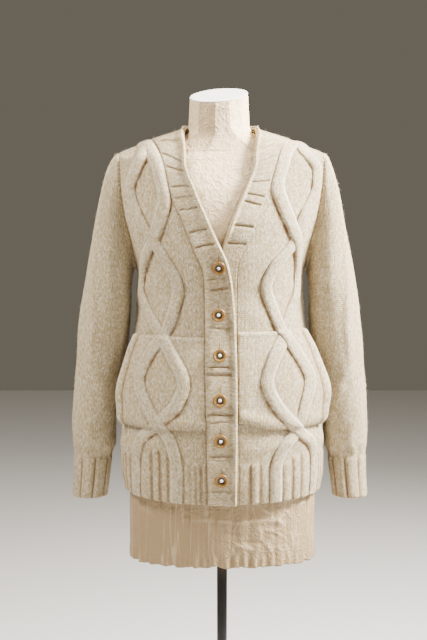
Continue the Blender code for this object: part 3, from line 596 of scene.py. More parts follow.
def cloth_wall(name, outer, inner, uv, groove, tube=False):
    """A closed wall of knit: a fine outer grid, and an inner one with fewer spans."""
    rows, columns = outer.shape[:2]
    few, narrow = inner.shape[:2]
    offset = rows * columns
    spans, inner_spans = (columns, narrow) if tube else (columns - 1, narrow - 1)
    step_r, step_c = (rows - 1) // (few - 1), spans // inner_spans
    out_quads, out_uv = grid_quads(rows, columns, 0, tube)
    in_quads, in_uv = grid_quads(few, narrow, offset, tube)
    verts = np.concatenate([outer.reshape(-1, 3), inner.reshape(-1, 3)])
    number = np.arange(offset).reshape(rows, columns)
    inside = np.arange(few * narrow).reshape(few, narrow) + offset
    if tube:
        number, inside = (np.concatenate([grid, grid[:, :1]], 1) for grid in (number, inside))
    rims = [f[::-1] for f in rim_faces(number[0].tolist(), inside[0].tolist())]
    rims += rim_faces(number[-1].tolist(), inside[-1].tolist())
    if not tube:
        rims += rim_faces(number[:, 0].tolist(), inside[:, 0].tolist())
        rims += [f[::-1] for f in rim_faces(number[:, -1].tolist(), inside[:, -1].tolist())]
    rims = np.array(rims)
    inner_uv = uv[::step_r, ::step_c]
    vert_uv = np.concatenate([uv[:, :columns].reshape(-1, 2), inner_uv[:, :narrow].reshape(-1, 2)])
    groups = [(out_quads, uv.reshape(-1, 2)[out_uv]),
              (in_quads[:, ::-1], inner_uv.reshape(-1, 2)[in_uv[:, ::-1]]), (rims, vert_uv[rims])]
    middle = len(out_quads) // 2
    r, c = divmod(middle, spans)
    outward = outer[r, c] - inner[min(r // step_r, few - 1), min(c // step_c, narrow - 1)]
    groups = faced(verts[out_quads[middle]], outward, groups)
    values = np.concatenate([groove.ravel(), groove[::step_r, ::step_c][:few, :narrow].ravel()])
    wall = mesh_object(name, verts, [face for quads, _ in groups for face in quads.tolist()],
                       np.concatenate([loops.reshape(-1, 2) for _, loops in groups]), values,
                       material("cream_wool"))
    wall["outer_faces"] = len(out_quads)
    return wall


# ---- materials --------------------------------------------------------------------------
class Tree:
    """Short names for building a node tree."""

    def __init__(self, tree):
        self.tree = tree

    def put(self, value, socket):
        """Links another socket to this one, or sets it; a colour is given without alpha."""
        if isinstance(value, bpy.types.NodeSocket):
            self.tree.links.new(value, socket)
        elif value is not None:
            socket.default_value = (*value, 1) if socket.type == "RGBA" else value

    def add(self, kind, **inputs):
        """A node with its inputs given by name or, as i0 and i1, by number."""
        node = self.tree.nodes.new(kind)
        for key, value in inputs.items():
            numbered = key[0] == "i" and key[1:].isdigit()
            self.put(value, node.inputs[int(key[1:]) if numbered else key.replace("_", " ")])
        return node


class Nodes(Tree):
    """A material and short names for its nodes."""

    def __init__(self, name):
        self.material = bpy.data.materials.new(name)
        self.material.use_nodes = True
        super().__init__(self.material.node_tree)
        self.shader = self.tree.nodes["Principled BSDF"]

    def math(self, operation, a, b=None, c=None, clamp=False):
        node = self.add("ShaderNodeMath")
        node.operation, node.use_clamp = operation, clamp
        for socket, value in zip(node.inputs, (a, b, c)):
            self.put(value, socket)
        return node.outputs[0]

    def times(self, a, b, clamp=False):
        return self.math("MULTIPLY", a, b, clamp=clamp)

    def apart(self, value, middle):
        """How far a value is from a middle one, either way."""
        return self.math("ABSOLUTE", self.math("SUBTRACT", value, middle))

    def mix(self, factor, a, b):
        node = self.add("ShaderNodeMix")
        node.data_type = "RGBA"
        for number, value in ((0, factor), (6, a), (7, b)):
            self.put(value, node.inputs[number])
        return node.outputs[2]

    def place(self):
        return self.add("ShaderNodeTexCoord").outputs["Object"]

    def noise(self, scale, detail=2.0, rough=0.5, vector=None):
        return self.add("ShaderNodeTexNoise", Scale=scale, Detail=detail, Roughness=rough,
                        Vector=vector or self.place()).outputs["Fac"]

    def groove(self):
        """The mesh's painted light: painted shade where it is above 0, a painted highlight where below; on
        the paper it also carries brown tone.
        """
        node = self.add("ShaderNodeAttribute")
        node.attribute_name = "groove"
        return node.outputs["Fac"]

    def bump(self, height, distance, strength=1.0):
        return self.add("ShaderNodeBump", Strength=strength, Distance=distance,
                        Height=height).outputs["Normal"]

    def set(self, **inputs):
        for key, value in inputs.items():
            self.put(value, self.shader.inputs[key.replace("_", " ")])
        return self.material


def wool_material(looks):
    """Stockinette: columns of V stitches that follow the piece's UV map, in metres."""
    n = Nodes("cream_wool")
    uv = n.add("ShaderNodeSeparateXYZ", Vector=n.add("ShaderNodeUVMap").outputs[0])
    across = n.math("DIVIDE", uv.outputs[0], looks.stitch_width)
    along = n.math("DIVIDE", uv.outputs[1], looks.stitch_height)
    side = n.apart(n.math("FRACT", across), 0.5)
    leg = n.math("POWER", n.math("ABSOLUTE", n.math("SINE", n.times(side, 2 * math.pi))), 0.6)
    slant = n.math("ADD", along, n.times(side, 1.7))
    ply = n.math("MULTIPLY_ADD", n.math("SINE", n.times(slant, 2 * math.pi)), 0.32, 0.68)
    stitch = n.times(leg, ply)
    cell = n.add("ShaderNodeCombineXYZ", X=n.math("FLOOR", n.times(across, 2.0)),
                 Y=n.math("FLOOR", slant))
    tone = n.add("ShaderNodeTexWhiteNoise", Vector=cell.outputs[0]).outputs["Value"]
    fibre, blotch = n.noise(1100.0, 3.0, 0.75), n.noise(300.0, 3.0, 0.7)
    height = n.math("MULTIPLY_ADD", blotch, 1.2, n.math("MULTIPLY_ADD", fibre, 0.8, stitch))
    groove = n.groove()
    # Painted light from the mesh: shade where it is above 0, a highlight where below.
    deep, lit = n.times(groove, 0.88, clamp=True), n.times(groove, -0.95, clamp=True)
    wool, shade, edge = map(tuple, (looks.wool_colour, looks.wool_painted_shade_and_speckle, looks.wool_highlight_and_pale_speckle))
    colour = n.mix(lit, wool, edge)
    # Painted shade between the stitch legs, less under a painted highlight.
    gaps = n.times(n.math("SUBTRACT", 1.0, stitch), n.math("MULTIPLY_ADD", lit, -0.72, 0.8))
    colour = n.mix(gaps, colour, shade)
    rest = n.math("MULTIPLY_ADD", lit, -0.8, 1.0)
    # Random tones of stitches, blotches and fibres, faint under a painted highlight.
    for source, start, gain, share, aim in (
            (tone, 0.45, -3.0, 0.74, shade), (tone, 0.70, 3.0, 0.58, edge),
            (blotch, 0.52, 5.0, 0.30, shade), (fibre, 0.48, 4.0, 0.35, edge)):
        amount = n.times(n.math("SUBTRACT", source, start), gain, clamp=True)
        colour = n.mix(n.times(n.times(amount, share), rest), colour, aim)
    # Painted shade in the hollows: the cables' feet, the ribs and the seams.
    colour = n.mix(deep, colour, tuple(looks.wool_painted_crevice_shade))
    return n.set(Base_Color=colour, Roughness=0.95, Sheen_Weight=0.15, Sheen_Roughness=0.5,
                 Sheen_Tint=(1.0, 0.93, 0.80), Specular_IOR_Level=0.1,
                 Normal=n.bump(height, 0.0024, 1.0))


def paper_material(looks, name, tint):
    """Crinkled tissue paper: fine sharp creases with painted highlights on some and painted shade on
    others, and the mesh's brown tone and painted shade, browner low down.
    """
    n = Nodes(name)
    place = n.place()
    soft = 0.45 if name == "cap_paper" else 1.0

    def line(level, sharpness):
        """1 where a level crosses its middle, down to 0 on both sides."""
        return n.math("SUBTRACT", 1.0, n.times(n.apart(level, 0.5), sharpness), clamp=True)

    wide = n.noise(22.0, 3.0, 0.55, place)
    coarse, middling, fine = (line(n.noise(scale, 1.5, 0.5, place), sharpness)
                              for scale, sharpness in ((34.0, 16.0), (75.0, 13.0), (150.0, 9.0)))
    height = n.math("MULTIPLY_ADD", coarse, 0.5,
                    n.math("MULTIPLY_ADD", middling, 0.5, n.times(fine, 0.3)))
    warm = tuple(v * s for v, s in zip(tint, (0.78, 0.64, 0.48)))
    pale = tuple(min(v * 1.25, 0.96) for v in tint)
    low = n.groove()
    spare = n.math("MULTIPLY_ADD", low, -1.15, 1.0, clamp=True)
    stretched = n.add("ShaderNodeVectorMath", i0=place, i1=(1, 1, 0.05))
    stretched.operation = "MULTIPLY"
    upright = line(n.noise(46.0, 2.0, 0.6, stretched.outputs[0]), 60.0)
    colour = n.mix(n.times(wide, 0.55 * soft), tint, warm)
    # The mesh's brown tone and painted shade.
    colour = n.mix(low, colour, tuple(looks.paper_brown_and_painted_shade))
    colour = n.mix(n.times(n.times(upright, low), 0.20), colour, pale)
    # Painted highlights on the coarse creases, painted shade on the middling ones, faint low down.
    colour = n.mix(n.times(n.times(coarse, 0.35 * soft), spare), colour, pale)
    colour = n.mix(n.times(n.times(middling, 0.40 * soft), spare), colour, warm)
    return n.set(Base_Color=colour, Roughness=0.6, Specular_IOR_Level=0.35,
                 Normal=n.bump(height, 0.0015 * soft, 0.7))


def button_material(looks):
    """Turned wood, a fine ring grain under a satin finish."""
    n = Nodes("turned_wood")
    place = n.place()
    grain = n.add("ShaderNodeTexWave", Scale=260.0, Distortion=6.0, Detail=3.0, Vector=place)
    grain.bands_direction = "Z"
    stain = n.noise(420.0, 3.0, 0.6, place)
    base = tuple(looks.button_colour)
    deep = tuple(v * s for v, s in zip(base, (0.55, 0.45, 0.35)))
    colour = n.mix(n.times(grain.outputs["Fac"], 0.45), base, deep)
    colour = n.mix(n.times(stain, 0.35), colour, deep)
    # Painted shade from the mesh, much darker than the grain.
    colour = n.mix(n.groove(), colour, tuple(v * 0.16 for v in deep))
    return n.set(Base_Color=colour, Roughness=0.38, Coat_Weight=0.25, Coat_Roughness=0.2,
                 Normal=n.bump(stain, 0.0003, 0.4))


def thread_material(name):
    """Spun thread and loose fibre: pale, with a fine twist."""
    n = Nodes(name)
    twist = n.noise(1500.0, 2.0)
    tones = ((0.97, 0.96, 0.94), (0.80, 0.77, 0.70)) if name == "button_thread" else (
        (0.95, 0.88, 0.72), (0.80, 0.68, 0.46))
    return n.set(Base_Color=n.mix(n.times(twist, 0.5), *tones), Roughness=0.9,
                 Sheen_Weight=0.2, Normal=n.bump(twist, 0.0003, 0.5))


def metal_material(name, rough):
    """Black paint with a little orange peel and dust."""
    n = Nodes(name)
    peel = n.noise(900.0, 2.0)
    dust = n.noise(30.0, 4.0, 0.6)
    colour = n.mix(n.times(dust, 0.25), (0.012, 0.012, 0.013), (0.045, 0.042, 0.040))
    return n.set(Base_Color=colour, Roughness=rough, Coat_Weight=0.3, Coat_Roughness=0.15,
                 Normal=n.bump(peel, 0.0002, 0.25))


def material(name):
    """The material of that name, made the first time it is asked for."""
    found = bpy.data.materials.get(name)
    if found:
        return found
    looks = bpy.context.scene.cardigan_looks
    if name == "cream_wool":
        return wool_material(looks)
    if name == "form_paper":
        return paper_material(looks, name, tuple(looks.paper_colour))
    if name == "cap_paper":
        return paper_material(looks, name, tuple(looks.cap_colour))
    if name == "turned_wood":
        return button_material(looks)
    if name in ("button_thread", "fuzz_wool"):
        return thread_material(name)
    return metal_material(name, 0.32 if name == "pole_paint" else 0.45)


def dress(piece, slot, *nodes):
    """The piece rides on the root body and stands for its solids."""
    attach(piece, "root")
    if nodes:
        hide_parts(*nodes)


# ---- pieces -----------------------------------------------------------------------------
def gutter_depth_and_painted_shade(outer, slope):
    """How deep the purl gutter beside a strand is, and how much painted shade it gets: most where its side
    faces in and down, turned from the lights.
    """
    down = np.clip(-slope, -1, 1) * np.where(outer, -1, 1)
    return np.clip(np.where(outer, 0.32, 0.72) + 0.36 * down, 0.04, 1.0)


def uneven(points):
    """A share near 1 that comes and goes along a gutter, as hand knitting does."""
    return np.clip(0.92 + waver(points, 70.0, 0.9, 2.0) + waver(points, 210.0, 0.5, 9.0), 0.35, 1.25)


def strand_gutter_and_painted_shade(surface, arcs, heights):
    """How deep in the gutter at the foot of a strand a point of the panel is; this also sets the painted
    shade there.
    """
    shares = surface.share(arcs, heights)
    metres = np.interp(heights, surface.heights, surface.width)
    deep = np.zeros(arcs.shape)
    for line in surface.strands(heights):
        slope = np.gradient(line[:, 0] * metres[:, 0], heights[:, 0])
        off = (shares - line) * metres / np.sqrt(1 + slope ** 2)[:, None]
        near = np.abs(np.abs(off) - ROPE_WIDTH / 2)
        deep = np.maximum(deep, gutter_depth_and_painted_shade(off > 0, slope[:, None]) * bell(near, 0.0030))
    return deep * uneven(surface.sample(surface.points, shares, heights))


def build_front(side):
    """A front: plain knit over a ribbed hem, sunk a little beside the cable strands."""
    s = panel(side)
    relief, groove = rib_relief(RIBS[side], s.arcs, s.up)
    foot = strand_gutter_and_painted_shade(s, s.arcs, s.up)
    pocket = s.on_pocket(s.arcs, s.up)
    foot = foot * (1 - pocket)
    hem = edge_round(s.up - HEM_Z, 0.0032)
    side_edge = edge_round((s.last - s.first)[:, None] - (s.arcs - s.first[:, None]), 0.0005)
    seam_edge = edge_round(s.arcs - s.first[:, None], 0.0007 if side == "right" else 0.0004)
    lift = WALL + relief * (1 - pocket) - 0.0010 * foot - hem - side_edge - seam_edge + s.drape
    outer = s.points + s.normals * lift[..., None]
    inner = (s.points + s.normals * s.drape[..., None])[::4, ::4]
    # Painted shade in the rib hollows, in the gutters beside the strands, at the side edge and along the
    # band's seam.
    groove = deepest(groove * 0.85, foot * 0.85, 0.3 * bell(s.last[:, None] - s.arcs, 0.0014),
                     (0.34 if side == "right" else 0.14) * bell(s.arcs - s.first[:, None], 0.0085))
    uv = np.stack([s.arcs, s.up], -1)
    return cloth_wall("front_" + side + "_knit", outer, inner, uv, groove)


ROPE_POINTS = 17


def rope_grid(side, which, looks):
    """One strand as rows of points across it, from the hem to the shoulder seam."""
    s = panel(side)
    heights = np.linspace(HEM_Z, s.heights[-1], 440)
    share = s.strands(heights)[0 if which > 0 else 1]
    metres = np.interp(heights, s.heights, s.width)
    place = share * metres
    step_a, step_h = np.gradient(share) * metres, np.gradient(heights)
    size = np.hypot(step_a, step_h)
    tangent = np.stack([step_a / size, step_h / size], -1)
    for _ in range(6):
        tangent[1:-1] = (tangent[:-2] + 2 * tangent[1:-1] + tangent[2:]) / 4
    tangent = unit(tangent)
    tangent[heights < HEM_Z + 0.01] = (0, 1)
    t = np.linspace(-1, 1, ROPE_POINTS)
    t = np.sin(t * math.pi / 2) * 0.55 + t * 0.45
    half = looks.rope_width / 2 * (1 + 0.05 * fade(RIB_TOP_Z - heights, 0, 0.03))
    shares = share[:, None] + (tangent[:, 1] / metres * half)[:, None] * t
    hs = heights[:, None] - (tangent[:, 0] * half)[:, None] * t
    hs = np.clip(hs, HEM_Z, s.heights[-1])
    low, high = s.edges(hs)
    arcs = low + shares * (high - low)
    over = np.zeros(len(heights))
    for z, top in zip(CROSSINGS[side]["z"], CROSSINGS[side]["over"]):
        over += (1.0 if top == which else -1.0) * bell(heights - z, 0.019)
    rise = looks.rope_rise + np.where(over > 0, 0.0022, 0.0026) * over
    rise = rise * (1 - 0.25 * fade(RIB_TOP_Z - heights, 0, 0.03)) * (1 - 0.45 * fade(heights, 1.25, 1.31))
    ends = edge_round(np.minimum(heights - HEM_Z, s.heights[-1] - heights), 0.0035)
    on = s.on_pocket(arcs, hs)
    ground = (WALL + s.sample(s.drape, shares, hs)) * (1 - on) + (
        s.pocket_lift(arcs, hs) + POCKET_WALL + s.sample(s.drape, shares, hs)) * on
    crown = (1 - np.abs(t) ** 2.6) ** 0.62
    crown = crown[None] * (rise - ends)[:, None] - 0.0010 * (1 - crown[None])
    points = s.sample(s.points, shares, hs)
    normals = unit(s.sample(s.normals, shares, hs))
    top = points + normals * (ground + crown)[..., None]
    low = points + normals * (ground - 0.0016)[..., None]
    run = distances(top[:, ROPE_POINTS // 2])
    across = half[:, None] * t[None]
    uv = np.stack([across, np.broadcast_to(run[:, None], across.shape)], -1)
    slope = (tangent[:, 0] / np.maximum(tangent[:, 1], 0.2))[:, None]
    # Painted shade in the gutter at the strand's feet, most on the sides turned from the lights.
    dark = gutter_depth_and_painted_shade(t[None] > 0, slope) * uneven(points)
    # Painted highlights along the strand's edges, stronger on one side; a paler painted top; painted shade
    # at its feet.
    pale = np.where(t > 0, 1.0 if side == "left" else 0.5, 0.65)[None] * (1 - dark)
    groove = fade(np.abs(t), 0.78, 1.0)[None] * dark - 0.16 * (1 - fade(np.abs(t), 0.6, 0.9))[None]
    groove = groove - pale * bell(np.abs(t) - 0.74, 0.16)[None]
    return top, low, uv, groove


def build_ropes(side, looks):
    """Both strands of a front's cable, one over the other where they cross."""
    verts, faces, loops, values, offset = [], [], [], [], 0
    for which in (1, -1):
        top, low, uv, groove = rope_grid(side, which, looks)
        columns = np.concatenate([top, low[:, ::-1]], 1)
        wide = np.concatenate([uv, uv[:, ::-1], uv[:, :1]], 1)
        rows, count = columns.shape[:2]
        quads, quad_uv = grid_quads(rows, count, offset, True)
        flat = columns.reshape(-1, 3)
        across = np.arange(count)[None] + offset
        groups = [(quads, wide.reshape(-1, 2)[quad_uv]), (across[:, ::-1], wide[:1, :count][:, ::-1]),
                  (across + (rows - 1) * count, wide[-1:, :count])]
        middle = quads[rows // 2 * count + ROPE_POINTS // 2] - offset
        outward = columns[rows // 2, ROPE_POINTS // 2] - columns[rows // 2, -ROPE_POINTS // 2]
        for group, group_uv in faced(flat[middle], outward, groups):
            faces += group.tolist()
            loops.append(group_uv.reshape(-1, 2))
        verts.append(flat)
        # The strand's underside gets full painted shade.
        values += [groove, np.ones_like(groove)]
        offset += rows * count
    values = [np.concatenate(values[k:k + 2], 1).ravel() for k in (0, 2)]
    return mesh_object("cable_" + side, np.concatenate(verts), faces, np.concatenate(loops),
                       np.concatenate(values), material("cream_wool"))


def build_pocket(side):
    """A patch with a rolled side edge, sewn down but for that edge."""
    s = panel(side)
    pocket = POCKET[side]
    heights = np.linspace(pocket["bottom"] - 0.002, pocket["top"] + 0.001, 97)
    first, last = s.edges(heights)
    first, last = first + 0.0004, last - POCKET_SIDE
    share = np.linspace(0, 1, 117)
    arcs = first[:, None] + (last - first)[:, None] * share
    low_share = (pocket["top"] - heights)[:, None] / (pocket["top"] - heights[0])
    up = heights[:, None] + pocket["slope"] * (1 - fade(arcs, 0.025, 0.100)) * low_share
    ledge = heights[:, None] + 0 * arcs
    q = s.share(arcs, up)
    points = s.sample(s.points, q, up)
    normals = unit(s.sample(s.normals, q, up))
    base = s.pocket_lift(arcs, up) + s.sample(s.drape, q, up)
    low_part = np.clip((ledge - pocket["bottom"]) / (pocket["top"] - pocket["bottom"]), 0, 1)
    sag = 0.0034 * bell(low_part - 0.06, 0.06)
    from_side = last[:, None] - arcs
    roll = 0.0038 * bell(from_side - 0.0075, 0.0060)
    line = bell(from_side - 0.0178, 0.0024)
    top_edge, low_edge = pocket["top"] + 0.001 - ledge, ledge - pocket["bottom"] + 0.002
    hem = edge_round(top_edge, 0.0030) + edge_round(low_edge, 0.0034)
    hem = hem + edge_round(from_side, 0.0028) + edge_round(arcs - first[:, None], 0.0018)
    lip = 0.0008 * bell(top_edge - 0.006, 0.0035)
    foot = strand_gutter_and_painted_shade(s, arcs, up)
    thick = POCKET_WALL + roll + lip - 0.0018 * line - np.minimum(hem, 0.0032) - 0.0008 * foot
    outer = points + normals * (base + sag + thick)[..., None]
    inner = (points + normals * (base + sag)[..., None])[::4, ::4]
    # Painted shade in the strand gutters, in the line beside the rolled edge, along the band side and
    # under the bottom edge; a painted highlight on the rolled edge.
    groove = deepest(foot * 0.85, line * 0.85, 0.24 * bell(arcs - first[:, None], 0.0100),
                     0.4 * bell(low_edge, 0.0020)) - 0.6 * bell(from_side - 0.0055, 0.0050)
    # A painted highlight along the top edge, less over the gutters.
    groove = groove - 0.25 * bell(top_edge - 0.004, 0.0030) * (1 - foot)
    uv = np.stack([arcs, up], -1)
    return cloth_wall("pocket_" + side + "_knit", outer, inner, uv, groove)


BACK_LEVELS = 193
BACK_SHOULDER = 40


@lru_cache(None)
def back_grid():
    """The back's inner surface: side to side, and up to the neck band and the shoulders."""
    neck = RIDGE_IN / RIDGE_OUT
    turn = np.linspace(0, math.pi / 2, 85)[1:]
    half = np.concatenate([neck * (np.sin(turn) + turn / (math.pi / 2)) / 2,
                           np.linspace(neck, 1, 37)[1:]])
    spread = np.concatenate([-half[::-1], [0], half])
    heights = chart_heights(BACK_LEVELS, BACK_SHOULDER)
    rows, arcs = [], []
    for z in heights[:BACK_LEVELS]:
        side = level_arc(1.0, z, 1) - SEAM_GAP / 2
        if z > ARMPIT_Z:
            side = level_arc(smooth(ARMHOLE["z"], ARMHOLE["reach"], z), z, 1)
        left = level_point(1, np.abs(spread) * side, z, 1)
        right = level_point(-1, np.abs(spread) * side, z, 1)
        rows.append(np.where((spread < 0)[:, None], right, left))
        arcs.append(spread * side)
    reach = np.abs(rows[-1][:, 0] - ring("shift", CHART_Z))
    target = np.abs(spread) * RIDGE_OUT
    stop = np.array([back_neck_point(f * RIDGE_OUT) for f in spread])
    start = rows[-1]
    for k in range(1, BACK_SHOULDER + 1):
        s = k / BACK_SHOULDER
        left, right = (shoulder_row(g, reach, target, s, 1) for g in (1, -1))
        over = np.where((spread < 0)[:, None], right, left)
        under = start + (stop - start) * s
        rows.append(np.where((np.abs(spread) > neck - 1e-6)[:, None], over, under))
        arcs.append(spread * RIDGE_OUT * 1.02)
    points = np.array(rows)
    points[BACK_LEVELS:], _ = settle(points[BACK_LEVELS:])
    points[-1, :, 1] = np.where(np.abs(spread) > neck - 1e-6, SEAM_GAP / 2, points[-1, :, 1])
    up = np.broadcast_to(heights[:, None], points.shape[:2])
    return points, body_normal(points)[0], np.array(arcs), up, spread


def back_neck_point(x):
    share = np.clip(abs(x) / NECK_OUTER[0], 0, 1)
    y = NECK_OUTER[1] * math.sqrt(1 - share ** 2)
    z = dome_z(x, y)
    return np.array([x + ring("shift", z), y, z])


def build_back():
    """The back: plain knit over a ribbed hem."""
    points, normals, arcs, up, spread = back_grid()
    period, rise = 0.0242, 0.0024
    rib = np.abs((arcs / period + 0.5) % 1 - 0.5) * 2
    on = 1 - fade(up, RIB_TOP_Z - 0.004, RIB_TOP_Z + 0.002)
    relief = rise * np.clip(1 - (rib / 0.86) ** 4, 0, 1) ** 0.5 * on
    groove = bell((rib - 0.93) * period / 2, 0.0016) * on
    drape = creases(BACK_FOLDS, arcs, up) + waver(points, 9.0, 0.0012, 4.0)
    drape = drape * fade(1 - np.abs(spread), 0, 0.04)[None] * (1 - fade(up, 1.24, 1.30))
    hem = edge_round(up - HEM_Z, 0.0032)
    side = np.abs(arcs).max(1, keepdims=True) - np.abs(arcs)
    lift = WALL + relief - hem - edge_round(side, 0.0020) + drape
    outer = points + normals * lift[..., None]
    inner = (points + normals * drape[..., None])[::4, ::4]
    # Painted shade in the rib hollows and along the side edges.
    groove = np.maximum(groove * 0.9, 0.7 * bell(side, 0.0016))
    uv = np.stack([arcs, up], -1)
    return cloth_wall("back_knit", outer, inner, uv, groove)


SLEEVE_RING = 144
SLEEVE_ROWS = 241


def arm_loop(side):
    """Points, directions and outward headings round the armhole, from under the arm."""
    s = panel(side)
    sign = s.sign
    bp, bn, _, bup, _ = back_grid()
    count = SLEEVE_RING // 2
    column = -1 if sign > 0 else 0
    next_in = -2 if sign > 0 else 1
    pseudo = np.interp(np.arange(count + 1) / count * 14, np.arange(15), ARM_HEIGHTS)
    front, front_n, inside = (follow(pseudo, s.heights, grid) for grid in (
        s.points[:, -1], s.normals[:, -1], s.points[:, -4]))
    back, back_n, back_inside = (follow(pseudo, bup[:, 0], grid) for grid in (
        bp[:, column], bn[:, column], bp[:, next_in]))
    heading, back_heading = front - inside, back - back_inside
    heading[0] = (0, 0, 1)
    heading[-1] = (sign, 0, 0)
    points, normals, headings = (np.concatenate([a, b[-2:0:-1]]) for a, b in (
        (front, back), (front_n, back_n), (heading, back_heading)))
    return points, unit(normals), unit(headings)


def catmull(grid, places, count):
    """Rows between the given ones, smoothly."""
    fine = np.linspace(places[0], places[-1], count)
    out = np.empty((count,) + grid.shape[1:])
    for c in range(grid.shape[1]):
        for k in range(3):
            out[:, c, k] = smooth(places, grid[:, c, k], fine)
    return out


def grid_normals(grid):
    round_it = np.roll(grid, -1, 1) - np.roll(grid, 1, 1)
    down = np.gradient(grid, axis=0)
    n = unit(np.cross(down, round_it))
    middle = grid.mean(1, keepdims=True)
    return n * np.sign(((grid - middle) * n).sum(-1).mean())


def build_sleeve(side):
    """A tube from the armhole down to a ribbed cuff."""
    points, facing, headings = arm_loop(side)
    sign = SIDES[side]
    base = points + headings * ARM_GAP
    half = SLEEVE_RING // 2
    base[0, 1] = base[half, 1] = 0.0
    even = np.arange(SLEEVE_RING) * 2 * math.pi / SLEEVE_RING
    share = (base[:, 2] - base[0, 2]) / (base[half, 2] - base[0, 2])
    armhole = np.arccos(np.clip(1 - 2 * share, -1, 1))
    armhole = np.where(even > math.pi, 2 * math.pi - armhole, armhole)
    first = base + facing * WALL
    rings = [first, first * (1, 1.03, 1) + (sign * 0.0055, 0, -0.0027)]
    for k in range(len(SLEEVE["outer_x"])):
        row = {key: SLEEVE[key][k] for key in SLEEVE}
        blend = min((k + 1) / 8, 1.0)
        turn = armhole * (1 - blend) + even * blend
        top = np.array([sign * row["outer_x"], row["middle_y"], row["outer_z"]])
        low = np.array([sign * row["inner_x"], row["middle_y"], row["inner_z"]])
        spot = ((top + low) / 2 - (top - low) / 2 * np.cos(turn)[:, None]
                - np.array([0, row["depth"], 0]) * np.sin(turn)[:, None])
        narrow = max(1 - (k + 1) / 5, 0.0)
        spot[:, 1] += (first[:, 1] - spot[:, 1]) * narrow
        rings.append(spot)
    rings = np.array(rings)
    middle = rings.mean(1)
    step = np.maximum(np.linalg.norm(np.diff(middle, axis=0), axis=1), 0.004)
    places = np.concatenate([[0], np.cumsum(step)])
    grid = catmull(rings, places, SLEEVE_ROWS)
    along = np.linspace(0, places[-1], SLEEVE_ROWS)
    normals = grid_normals(grid)
    normals[0] = facing
    cuff = places[CUFF_ROW]
    turn = np.degrees(even)[None]
    down = np.broadcast_to(along[:, None], grid.shape[:2])
    folds = creases(SLEEVE_FOLDS, np.broadcast_to(turn, down.shape), down, 0.0012)
    folds = folds + waver(grid, 14.0, 0.0022, 7.0 * sign)
    folds = folds * fade(along, 0.02, 0.08)[:, None] * (1 - fade(along, cuff - 0.02, cuff))[:, None]
    gather = 0.0016 * np.cos(np.radians(turn) * 10) * bell(down - cuff + 0.012, 0.010)
    rib = np.abs((turn / 360 * 8 + 0.25) % 1 - 0.5) * 2
    on = fade(along, cuff - 0.002, cuff + 0.006)[:, None]
    relief = (0.0038 * np.clip(1 - (rib / 0.88) ** 3, 0, 1) ** 0.55 - 0.0012) * on
    groove = bell(rib - 0.95, 0.08) * on
    end = edge_round(along[-1] - down, 0.0030)
    head = edge_round(down, 0.0006)
    move = folds + gather
    outer = grid + normals * (move + relief - end - head)[..., None]
    inner = (grid + normals * (move - WALL)[..., None])
    inner[0] = base
    inner = inner[::4, ::4]
    # Painted shade along the armhole seam, strongest on the underside of the arm; painted shade in the
    # cuff's ribs and at the cuff's top.
    armhole_painted_shade = 0.10 + 0.65 * fade(np.cos(np.radians(turn)), -0.1, 0.5)
    groove = deepest(groove * 0.9, armhole_painted_shade * bell(down, 0.0030), 0.2 * bell(down - cuff, 0.0020))
    girth = 0.30
    u = np.arange(SLEEVE_RING + 1) / SLEEVE_RING * girth
    uv = np.stack(np.broadcast_arrays(u[None], along[:, None]), -1)
    return cloth_wall("sleeve_" + side + "_knit", outer, inner, uv, groove, True)


BAND_SPANS = 468
BAND_COLUMNS = 33


def purl_lines(side, total):
    """Where the purl lines that cross the band lie along it, how wide and how deep."""
    table = PURLS[side]
    place, width, depth = (list(table[key]) for key in ("place", "width", "depth"))
    step = (0.022, 0.035)
    while place[-1] + step[len(place) % 2] < total - 0.010:
        place.append(place[-1] + step[len(place) % 2])
        width.append(0.0032)
        depth.append(0.8)
    return np.array([place, width, depth])


